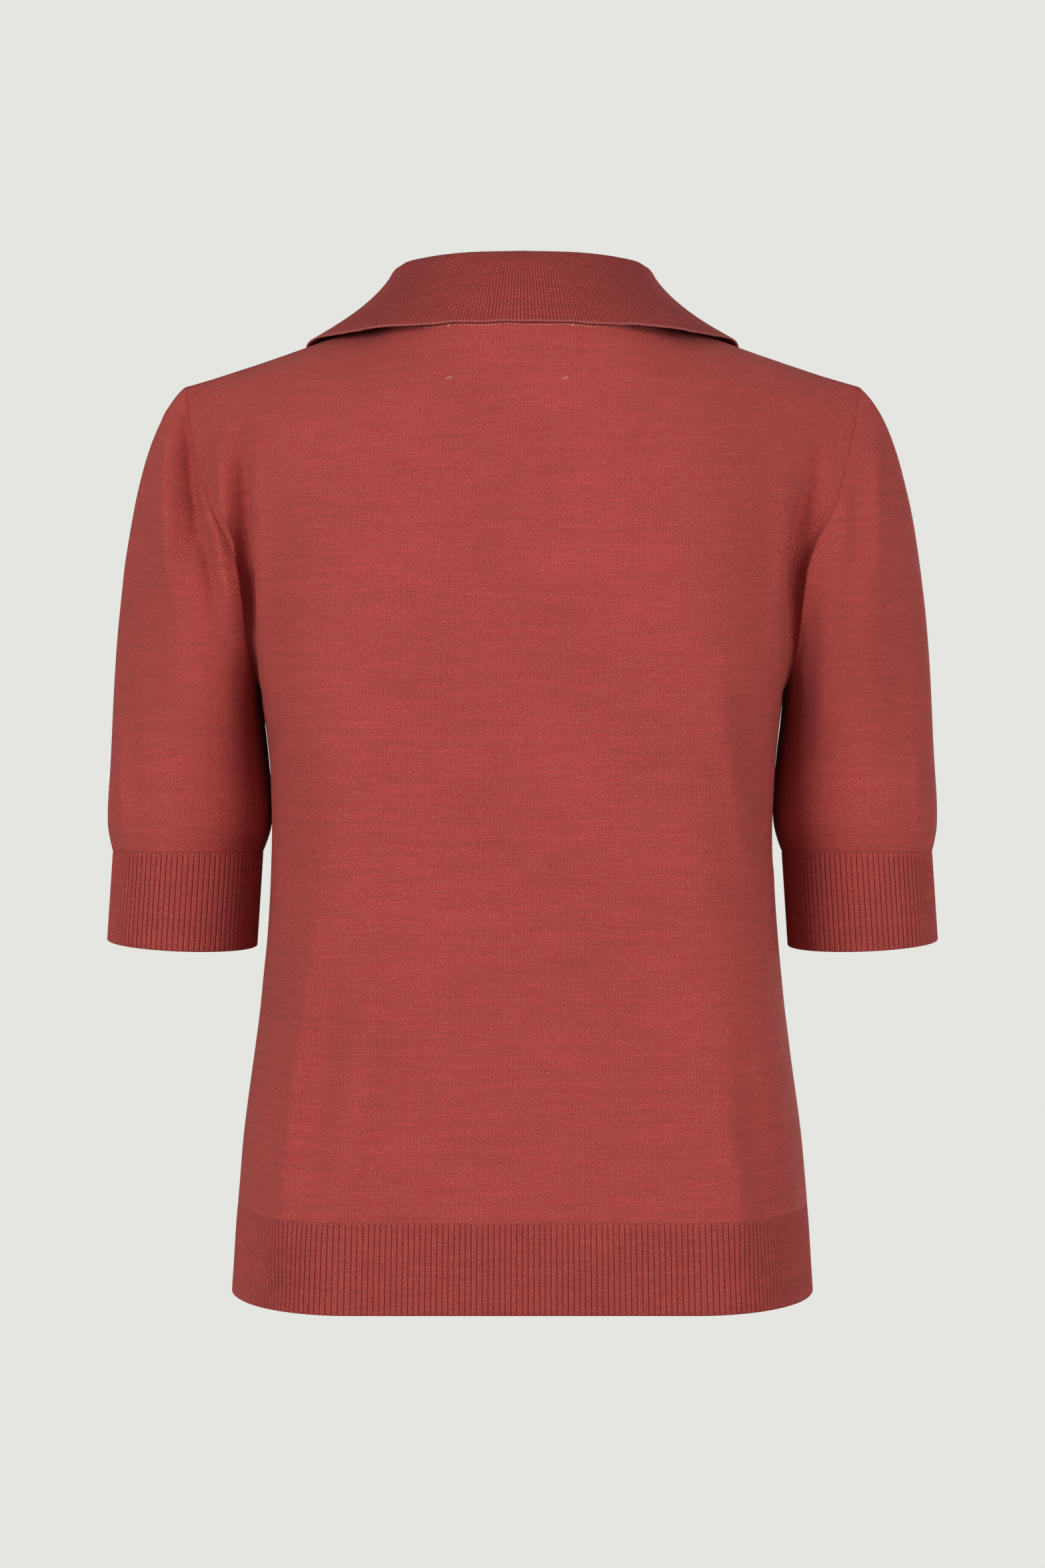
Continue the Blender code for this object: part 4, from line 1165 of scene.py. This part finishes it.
# the fall lies close to the panels under it, without touching them
panelTree = panelSurface()
clearance = np.interp(np.abs(shareList), collar["clearanceTurn"], collar["clearances"])
hugs = np.interp(np.abs(shareList), *zip(*collar["hugs"]))
shift = np.zeros_like(points)
for j in np.nonzero(sList > stand + rollSteps)[0]:
    part = (sList[j] - stand - rollSteps) / fallSteps
    for i in range(points.shape[1]):
        hug = hugs[i] * part * part * (3.0 - 2.0 * part)
        p = Vector(points[j, i])
        ray = (p - eye).normalized()
        near, normal = panelTree.ray_cast(eye, ray)[:2]
        faces = near is not None and normal.dot(ray) < collar["facing"]
        if faces and p.y < collar["nearSide"]:
            run = (near - p).dot(ray) + clearance[i] / normal.dot(ray)
            least, most = collar["drawLimits"]
            shift[j, i] = ray * min(max(run, least), most) * (hug if run > 0.0 else 1.0)
            continue
        near, normal = panelTree.find_nearest(p)[:2]
        height = (p - near).dot(normal) - clearance[i]
        if height < 0.0:
            shift[j, i] = -normal * height
        else:
            way = Vector(a * b for a, b in zip(normal, collar["lieWay"])).normalized()
            shift[j, i] = -way * min(height / way.dot(normal), collar["lieLimit"]) * hug
for k in range(collar["smoothPasses"]):
    shift[:, 1:-1] = shift[:, 1:-1] * 0.5 + (shift[:, :-2] + shift[:, 2:]) * 0.25
    if k % collar["crossSmoothEvery"] == 0:
        shift[1:-1] = shift[1:-1] * 0.5 + (shift[:-2] + shift[2:]) * 0.25
points = points + shift
fall = np.clip((sList - stand - rollSteps) / fallSteps, 0, 1)[:, None] ** 2
ripple = sum(
    share * np.array([noise.noise(Vector((x / long, y / long, place))) for x, y, z in points[-1]])
    for long, share, place in collar["rippleWaves"]
)
points[..., 2] += collar["ripple"] * ripple[None, :] * fall

# rows run from the outer edge to the seam so that the faces point outwards
points, normals = points[::-1], -gridNormals(points)[::-1]
alongV = runLength(points, 0)
points = points + normals * 0.5 * collar["wall"]
plain, rising = collar["plainEdge"]
ribHeight = np.clip((alongV - plain) / rising, 0.0, 1.0)
points = points - normals * (depths[None, :] * collar["gutter"] * ribHeight)[..., None]
ribU = np.broadcast_to((shares * ribCount)[None, :], points.shape[:2])
uv = np.stack([ribU, alongV], axis=-1)
collarEdge = points[0]
layers = layCloth(points, normals, uv, collar["wall"], ("rim", None, "rim", "rim"))
pieces["collar"] = clothMesh("collarRib", *layers, [collarRib])
print(ribCount, "ribs round the collar")

sewing = {
    # across the run, along it and high, in mm
    "dot": (0.95, 0.55, 0.4),
    "tack": (1.7, 0.5, 0.4),
    "loop": (2.1, 0.75, 0.6),
    "thread": (0.62, 0.25, 0.22),
    "threadLight": (0.80, 0.44, 0.40),
    "seamYarn": (0.30, 0.035, 0.030),
    "twist": (1600.0, 2.0),
    "twistRange": (0.35, 0.7),
    # linking: where it runs, its pitch, how far under the collar's edge, and how it wanders
    "linkingRun": (-71.0, 74.0, 1.7),
    "linkingDrop": 1.5,
    "linkingWaves": ((0.25, 0.21), (0.1, 1.3)),
    "linkingSlant": (0.25, 2.1),
    "linkingLift": 0.12,
    "neckReach": 78.0,
    "backOnly": -20.0,
    # crossed tacks under the collar's edge, and slanted ones lower down
    "crossedAt": ((-40.7, 2.0), (27.5, 2.0)),
    "crossedSlants": (0.5, -0.6),
    "crossedLift": 0.2,
    "slantedAt": ((-40.7, -31.6), (23.5, -31.6)),
    "slantedStitches": ((-1.1, 0.9), (0.1, 1.1), (1.2, 0.7)),
    "slantedStep": 0.25,
    "slantedLift": 0.15,
    # loops along the armholes
    "loopPitch": 2.7,
    "loopEnds": 14.0,
    "loopSlant": 0.6,
    "loopWander": (0.2, 1.7),
    "loopSink": 0.32,
}

level = Vector((1, 0, 0))


def yarnMaterial(name, base, light):
    n = Nodes(name)
    where = n.add("ShaderNodeTexCoord", None, None, 3)
    twist = n.noise(where, *sewing["twist"])
    colour = n.mix(n.span(twist, *sewing["twistRange"]), base, light)
    n.feed(n.shader.inputs["Base Color"], colour)
    ports = {"Height": twist, "Strength": 0.6, "Distance": 0.1 * mm}
    n.feed(n.shader.inputs["Normal"], n.add("ShaderNodeBump", None, ports))
    n.shader.inputs["Roughness"].default_value = 0.8
    n.shader.inputs["Specular IOR Level"].default_value = 0.25
    return n.material


def sewn(name, spots, size, material):
    # one stitch is modelled, then copied to every spot and joined
    bpy.ops.object.select_all(action="DESELECT")
    bpy.ops.mesh.primitive_uv_sphere_add(segments=8, ring_count=6, radius=0.5)
    stitch = bpy.context.object
    bpy.ops.object.mode_set(mode="EDIT")
    bpy.ops.transform.resize(value=size)
    bpy.ops.object.mode_set(mode="OBJECT")
    bpy.ops.object.shade_smooth()
    stitch.data.materials.append(material)
    copies = []
    for point, along, normal in spots:
        side = normal.cross(along).normalized()
        turn = Matrix((along, side, normal)).transposed().to_4x4()
        copy = linked(name, stitch.data.copy())
        copy.data.transform(Matrix.Scale(mm, 4) @ Matrix.Translation(point) @ turn)
        copies.append(copy)
    bpy.data.objects.remove(stitch, do_unlink=True)
    for copy in copies:
        copy.select_set(True)
    bpy.context.view_layer.objects.active = copies[0]
    bpy.ops.object.join()
    piece = bpy.context.object
    piece.name = piece.data.name = name
    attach(piece, "root")
    print(name, len(spots), "stitches")


def seenOnBack(x, z):
    # the place on the back panel that shows at x, z on the level of the shoulders
    ray = (Vector((x, 0.0, z)) - eye).normalized()
    near, normal = panelTree.ray_cast(eye, ray)[:2]
    if near is None:
        return None, None
    return near, normal if normal.dot(ray) < 0 else -normal


def slanted(normal, run, slant):
    # the way a stitch lies on the cloth, turned by slant from the run of its row
    along = (run - normal * run.dot(normal)).normalized()
    return (along * math.cos(slant) + normal.cross(along) * math.sin(slant)).normalized()


# linking along the back neck, just under the collar's edge
edgeLine = collarEdge[np.argsort(collarEdge[:, 0])]
edgeLine = edgeLine[(np.abs(edgeLine[:, 0]) < sewing["neckReach"]) & (edgeLine[:, 1] < 0)]
nearer = -eye.y / (edgeLine[:, 1] - eye.y)
seenX, seenZ = edgeLine[:, 0] * nearer, eye.z + (edgeLine[:, 2] - eye.z) * nearer
dots = []
turn, often = sewing["linkingSlant"]
for k, x in enumerate(np.arange(*sewing["linkingRun"])):
    drop = sewing["linkingDrop"] + sum(a * math.sin(x * b) for a, b in sewing["linkingWaves"])
    near, normal = seenOnBack(x, np.interp(x, seenX, seenZ) - drop)
    if near is None or near.y > sewing["backOnly"]:
        continue
    along = slanted(normal, level, turn * math.sin(k * often))
    dots.append((near + normal * sewing["linkingLift"], along, normal))
linkingYarn = yarnMaterial("linkingYarn", sewing["thread"], sewing["threadLight"])
sewn("neckLinking", dots, sewing["dot"], linkingYarn)

tacks = []
for x, drop in sewing["crossedAt"]:
    near, normal = seenOnBack(x, np.interp(x, seenX, seenZ) - drop)
    spot = near + normal * sewing["crossedLift"]
    tacks += [(spot, slanted(normal, level, slant), normal) for slant in sewing["crossedSlants"]]
for x, z in sewing["slantedAt"]:
    for k, (aside, slant) in enumerate(sewing["slantedStitches"]):
        near, normal = seenOnBack(x + aside, z + sewing["slantedStep"] * k)
        along = slanted(normal, level, slant)
        tacks.append((near + normal * sewing["slantedLift"], along, normal))
sewn("innerTacks", tacks, sewing["tack"], linkingYarn)

# fully fashioned loops that lie along both armholes
seamYarn = yarnMaterial("seamYarn", sewing["seamYarn"], knit["jersey"])
loops = []
loopPoints = armholeLoop(columnShares)[0]
ends = sewing["loopEnds"]
turn, often = sewing["loopWander"]
flip = Matrix.Diagonal((-1, 1, 1))
for k, at in enumerate(np.arange(ends, loopRun[-1] - ends, sewing["loopPitch"])):
    point, ahead = (Vector(alongLine(d, sleeveRun, loopPoints)) for d in (at, at + 1.0))
    normal = Vector(alongLine(at, loopRun, loopNormals)).normalized()
    along = slanted(normal, ahead - point, sewing["loopSlant"] + turn * math.sin(k * often))
    spot = (point - normal * sewing["loopSink"], along, normal)
    loops += [spot, tuple(flip @ v for v in spot)]
sewn("armholeLoops", loops, sewing["loop"], seamYarn)

declared = {
    "back": (["back"], "jersey", (0.45, 0.50), 0.205),
    "front": (["front"], "jersey", (0.45, 0.49), 0.195),
    "hemBack": (["hem_rib_back"], "rib", (0.45, 0.048), None),
    "hemFront": (["hem_rib_front"], "rib", (0.45, 0.048), None),
    "sleeveRight": (["sleeve_right"], "jersey", (0.36, 0.28), 0.060),
    "sleeveLeft": (["sleeve_left"], "jersey", (0.36, 0.28), 0.060),
    "cuffRight": (["cuff_right"], "rib", (0.30, 0.051), None),
    "cuffLeft": (["cuff_left"], "rib", (0.30, 0.051), None),
    "collar": (["collar"], "rib", (0.62, 0.087), None),
}

for key, (nodes, slot, flat, area) in declared.items():
    piece = pieces[key]
    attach(piece, "root")
    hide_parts(*nodes)

studio = {
    "lens": 83.389,
    "sensor": 36.0,
    "floorHeight": -1.45,
    "backdrop": 7.0,
    "bend": 0.8,
    "wallHeight": 6.0,
    "turns": 96,
    "bendSteps": 13,
    "paper": (0.791, 0.799, 0.761),
    "paperGlow": 0.976,
    "world": 0.325,
    "key": (33.0, 1.0, (-1.5, -1.85, 0.22)),
    "fill": (26.5, 1.2, (1.6, -1.8, 0.12)),
    "front": (24.0, 1.2, (0.7, 2.3, 0.1)),
}


def sweep():
    # round floor that bends up into the backdrop on all sides
    s = studio
    inner, low = s["backdrop"] - s["bend"], s["floorHeight"] + s["bend"]
    angles = np.linspace(0, math.pi / 2, s["bendSteps"])
    line = [(1.0, s["floorHeight"])]
    line += [(inner + s["bend"] * math.sin(a), low - s["bend"] * math.cos(a)) for a in angles]
    line += [(s["backdrop"], s["wallHeight"])]
    turns = s["turns"]
    angles = [2.0 * math.pi * k / turns for k in range(turns)]
    vertices = [(r * math.cos(a), r * math.sin(a), z) for r, z in line for a in angles]
    faces = [tuple(range(turns))]
    for j in range(len(line) - 1):
        for k in range(turns):
            a, b = j * turns + k, j * turns + (k + 1) % turns
            faces.append((a, a + turns, b + turns, b))
    mesh = bpy.data.meshes.new("paperSweep")
    mesh.from_pydata(vertices, [], faces)
    mesh.shade_smooth()
    n = Nodes("paper")
    n.shader.inputs["Base Color"].default_value = (0.02, 0.02, 0.02, 1.0)
    n.shader.inputs["Emission Color"].default_value = (*s["paper"], 1.0)
    n.shader.inputs["Emission Strength"].default_value = s["paperGlow"]
    n.shader.inputs["Roughness"].default_value = 0.95
    n.shader.inputs["Specular IOR Level"].default_value = 0.1
    mesh.materials.append(n.material)
    floor = linked("paperSweep", mesh)
    floor.visible_diffuse = floor.visible_glossy = False  # the pale paper lights nothing


sweep()
bpy.context.scene.view_settings.view_transform = "Standard"
world = bpy.data.worlds.new("studio")
world.use_nodes = True
air = world.node_tree.nodes["Background"]
air.inputs[0].default_value = (1.0, 0.99, 0.97, 1.0)
air.inputs[1].default_value = studio["world"]
bpy.context.scene.world = world
for name in ("key", "fill", "front"):
    power, size, place = studio[name]
    lamp = bpy.data.lights.new(name, "AREA")
    lamp.energy, lamp.size = power, size
    light = linked(name, lamp)
    light.location = place
    aim = Vector((0, 0, eye.z * mm)) - Vector(place)
    light.rotation_euler = aim.to_track_quat("-Z", "Y").to_euler()

camera = linked("camera", bpy.data.cameras.new("camera"))
camera.data.sensor_fit = "VERTICAL"
camera.data.sensor_height = studio["sensor"]
camera.data.lens = studio["lens"]
camera.location = eye * mm
camera.rotation_euler = (math.pi / 2, 0.0, 0.0)
bpy.context.scene.camera = camera
print("studio lit")

print("triangles", sum(len(p.vertices) - 2 for o in pieces.values() for p in o.data.polygons))
